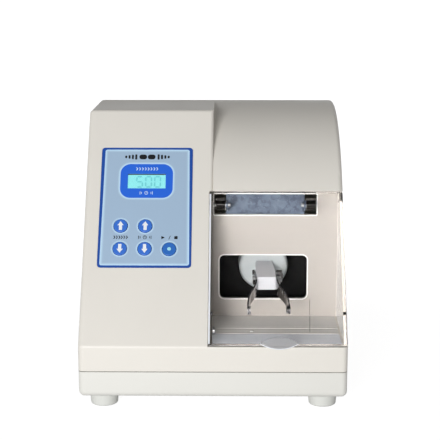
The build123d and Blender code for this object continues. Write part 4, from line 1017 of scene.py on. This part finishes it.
class AMALGAMATOR_OT_clamp(bpy.types.Operator):
    """Dress the wobbling hub and its capsule clamp, and add its nuts"""

    bl_idname = "amalgamator.clamp"
    bl_label = "Capsule clamp"

    def execute(self, context):
        finish = context.scene.amalgamator_clamp
        hub = moulded(
            "White hub", finish.hub, 0.3, mottle=0.03, fineness=1200.0, grain=0.00002, Coat_Weight=0.25,
        )
        dress(hub, "hub_white")
        dress(moulded("Holder", finish.holder, 0.38, fineness=1200.0, grain=0.00003), "holder_grey")
        # the strong streaks are partly drawn grain and partly painted reflection: dark and bright bands
        # along the prongs
        dress(drawn("Chrome", finish.chrome, 0.12, streaks=1.5, run=(700.0, 60.0, 130.0)), "chrome")

        parts = []
        for side, forward, height, across, thick in NUTS:
            outward = side * RIGHT  # in the arm's axes, whose Y points up
            face = axes(Vector((side * CLAMP_SIDE, height, forward)), BACK.cross(outward), BACK, outward)
            parts.append((nut(across, thick), ARM @ face))
        steel = drawn("Screw steel", tone(112, 110, 110), 0.2, streaks=0.15)
        make_piece("clamp_screws", parts, "arm", steel, smooth=35)
        return {"FINISHED"}


# ---- inside and rear ----
INSIDE = (  # slot, kind of finish, name, display colour, roughness and the finish's other values
    ("black_plastic", moulded, "Black plastic", (9, 10, 12), 0.55,
     {"mottle": 0.15, "fineness": 1300.0, "Specular_IOR_Level": 0.2}),
    ("board_green", moulded, "Board lacquer", (40, 110, 66), 0.35, {"mottle": 0.12, "fineness": 500.0}),
    ("component_black", moulded, "Component casing", (46, 46, 50), 0.5,
     {"mottle": 0.15, "fineness": 900.0}),
    ("steel", drawn, "Ground steel", (196, 198, 200), 0.3, {"streaks": 0.2}),
    ("motor_paint", moulded, "Motor paint", (72, 76, 80), 0.4,
     {"mottle": 0.08, "fineness": 700.0, "grain": 0.00003, "Coat_Weight": 0.2}),
    ("aluminium_cast", drawn, "Cast aluminium", (206, 208, 210), 0.45,
     {"streaks": 0.3, "run": (500.0, 500.0, 500.0), "grain": 0.00005}),
    ("magnet", moulded, "Sintered magnet", (62, 62, 64), 0.55, {"mottle": 0.2, "fineness": 600.0}),
    ("armature_core", drawn, "Laminated iron", (128, 116, 104), 0.5,
     {"streaks": 0.45, "run": (60.0, 3200.0, 60.0), "grain": 0.00003}),
    ("coil_tape", moulded, "Winding tape", (205, 168, 70), 0.4,
     {"mottle": 0.16, "fineness": 420.0, "grain": 0.00006}),
    ("brass", drawn, "Turned brass", (214, 186, 118), 0.28,
     {"streaks": 0.2, "run": (1200.0, 90.0, 1200.0)}),
    ("rubber_black", moulded, "Black rubber", (44, 44, 45), 0.75, {"mottle": 0.12, "fineness": 900.0}),
    ("fan_grey", moulded, "Fan plastic", (118, 122, 126), 0.45, {"mottle": 0.08, "fineness": 1200.0}),
)
SWITCH_MARK_Z, SWITCH_MARK_AWAY = 107.4, 13.6  # height, and distance from the inlet's middle
SWITCH_MARK_SUNK = 0.02  # into the inlet's face


class AMALGAMATOR_OT_inside(bpy.types.Operator):
    """Finish the drive, the boards and the supply"""

    bl_idname = "amalgamator.inside"
    bl_label = "Inside parts"

    def execute(self, context):
        for slot, finish, name, colour, roughness, values in INSIDE:
            dress(finish(name, tone(*colour), roughness, **values), slot)
        return {"FINISHED"}


class AMALGAMATOR_OT_rear(bpy.types.Operator):
    """Mark the power switch at the rear"""

    bl_idname = "amalgamator.rear"
    bl_label = "Power switch marks"

    def execute(self, context):
        low, high = (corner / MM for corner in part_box("power_inlet"))
        middle, face = (low.x + high.x) / 2, high.y - SWITCH_MARK_SUNK
        on = slab(0.7, 3.4, 0.06, 0.2)
        off = washer(outer=1.7, inner=1.1, height=0.06)
        marks = [
            (shape, facing(BACK, middle + side * SWITCH_MARK_AWAY, face, SWITCH_MARK_Z))
            for shape, side in ((on, 1), (off, -1))
        ]
        ink = moulded("Switch ink", tone(232, 234, 236), 0.4)
        make_piece("switch_marks", marks, "housing", ink)
        return {"FINISHED"}


# ---- studio, in metres ----
FLOOR_SIZE = 20.0
FLOOR_NEAR, FLOOR_FAR = 0.2, 0.5  # from the object's middle
SEEN_NEAR, SEEN_FAR = 1.32, 1.5  # brightness of the floor to rays that see it
FLOOR_OWN_LIGHT = 0.7  # the rest of the floor's light falls on it, and shows the shadow
HORIZON_TOP, DARK_FROM = 0.2, 0.62  # heights where the white ends and the dark is full
OVERHEAD = 0.04  # brightness of the dark
SKY_LOW, SKY_HIGH = -0.1, 0.9  # heights between which the room's own light changes
LAMP_PLACE, LAMP_AIM, LAMP_SIZE = Vector((-0.38, -1.49, 0.36)), Vector((0, 0, 0.11)), 0.45


class AMALGAMATOR_OT_studio(bpy.types.Operator):
    """Set up the floor, the room, the lamp and the camera"""

    bl_idname = "amalgamator.studio"
    bl_label = "Studio"

    def execute(self, context):
        scene = context.scene
        studio = scene.amalgamator_studio
        scene.view_settings.view_transform = "Standard"
        self.lay_floor(scene, studio)
        self.light_room(scene, studio)
        self.hang_lamp(scene, studio)
        self.place_camera(scene, studio)
        return {"FINISHED"}

    def seen_rays(self, tree):
        """One where the camera, a reflection or clear plastic looks at it."""
        rays = put(tree, "LightPath").outputs
        both = maths(tree, "MAXIMUM", rays["Is Camera Ray"], rays["Is Glossy Ray"])
        return maths(tree, "MAXIMUM", both, rays["Is Transmission Ray"])

    def lay_floor(self, scene, studio):
        """White floor that shows the object's shadow."""
        shape = bmesh.new()
        bmesh.ops.create_grid(shape, x_segments=1, y_segments=1, size=FLOOR_SIZE)
        mesh = bpy.data.meshes.new("studio_floor")
        shape.to_mesh(mesh)
        shape.free()
        floor = bpy.data.objects.new("studio_floor", mesh)
        scene.collection.objects.link(floor)
        floor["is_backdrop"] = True
        white, tree, surface = shader("Studio floor", (0.85, 0.85, 0.85), 0.8)
        away = vectors(tree, "LENGTH", object_place(tree))
        bounce = studio.bounce
        shown = ranged(tree, away, FLOOR_NEAR, FLOOR_FAR, SEEN_NEAR - bounce, SEEN_FAR - bounce)
        strength = maths(tree, "MULTIPLY_ADD", self.seen_rays(tree), shown, bounce)
        glow = put(tree, "Emission", (1.0, 1.0, 1.0), strength).outputs[0]
        blend = put(tree, "MixShader", FLOOR_OWN_LIGHT, surface.outputs[0], glow).outputs[0]
        feed(tree, tree.nodes["Material Output"].inputs["Surface"], blend)
        mesh.materials.append(white)

    def light_room(self, scene, studio):
        """Room that is seen as white round the horizon and dark overhead."""
        world = bpy.data.worlds.new("Studio room")
        world.use_nodes = True
        scene.world = world
        tree = world.node_tree
        room = tree.nodes["Background"]
        height = put(tree, "SeparateXYZ", put(tree, "TexCoord").outputs["Generated"]).outputs[2]
        shown = ranged(tree, height, HORIZON_TOP, DARK_FROM, 1.0, OVERHEAD)
        light = ranged(tree, height, SKY_LOW, SKY_HIGH, studio.sky, studio.ceiling)
        feed(tree, room.inputs["Color"], mixed(tree, self.seen_rays(tree), light, shown))
        feed(tree, room.inputs["Strength"], 1.0)

    def hang_lamp(self, scene, studio):
        """Large lamp in front, to the left."""
        light = bpy.data.lights.new("front_lamp", "AREA")
        light.size = LAMP_SIZE
        light.energy = studio.front_light
        lamp = bpy.data.objects.new("front_lamp", light)
        lamp.location = LAMP_PLACE
        lamp.rotation_euler = (LAMP_AIM - LAMP_PLACE).to_track_quat("-Z", "Y").to_euler()
        scene.collection.objects.link(lamp)

    def place_camera(self, scene, studio):
        """Camera in front, a little above the object."""
        eye = bpy.data.cameras.new("camera")
        eye.sensor_width = 36.0
        eye.lens = studio.lens
        eye.clip_end = 100.0
        camera = bpy.data.objects.new("camera", eye)
        camera.location = studio.camera
        camera.rotation_euler = (math.radians(90) - studio.pitch, 0.0, studio.turn)
        scene.collection.objects.link(camera)
        scene.camera = camera


# ---- add-on ----
class AMALGAMATOR_PT_sidebar(bpy.types.Panel):
    """Settings and steps of the amalgamator"""

    bl_label = "Amalgamator"
    bl_idname = "AMALGAMATOR_PT_sidebar"
    bl_space_type = "VIEW_3D"
    bl_region_type = "UI"
    bl_category = "Amalgamator"

    def draw(self, context):
        for name in GROUPS:
            box = self.layout.box()
            settings = getattr(context.scene, name)
            for row in settings.bl_rna.properties:
                if row.identifier not in ("rna_type", "name"):
                    box.prop(settings, row.identifier)
        for operator in OPERATORS:
            self.layout.operator(operator.bl_idname)


GROUPS = {
    "amalgamator_case": CaseFinish,
    "amalgamator_panel": PanelPrint,
    "amalgamator_clamp": ClampFinish,
    "amalgamator_studio": StudioSettings,
}
OPERATORS = (
    AMALGAMATOR_OT_studio,
    AMALGAMATOR_OT_case,
    AMALGAMATOR_OT_panel,
    AMALGAMATOR_OT_keys,
    AMALGAMATOR_OT_lid,
    AMALGAMATOR_OT_hinge,
    AMALGAMATOR_OT_clamp,
    AMALGAMATOR_OT_inside,
    AMALGAMATOR_OT_rear,
)


def register():
    for kind in (*GROUPS.values(), *OPERATORS, AMALGAMATOR_PT_sidebar):
        bpy.utils.register_class(kind)
    for name, kind in GROUPS.items():
        setattr(bpy.types.Scene, name, PointerProperty(type=kind))


def unregister():
    for name in GROUPS:
        delattr(bpy.types.Scene, name)
    for kind in (AMALGAMATOR_PT_sidebar, *reversed(OPERATORS), *GROUPS.values()):
        bpy.utils.unregister_class(kind)


def main():
    """Registers the add-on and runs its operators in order."""
    register()
    for make_group in (make_moulded, make_drawn, make_spangle, make_panel_place, make_rounded_box):
        make_group()
    for operator in OPERATORS:
        step = operator.bl_idname.split(".")[1]
        getattr(bpy.ops.amalgamator, step)()
    boxes = {"cad": CAD_BOX, "visual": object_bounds()}
    boxes = {name: [[float(v) for v in corner] for corner in box] for name, box in boxes.items()}


if __name__ == "__main__":
    main()
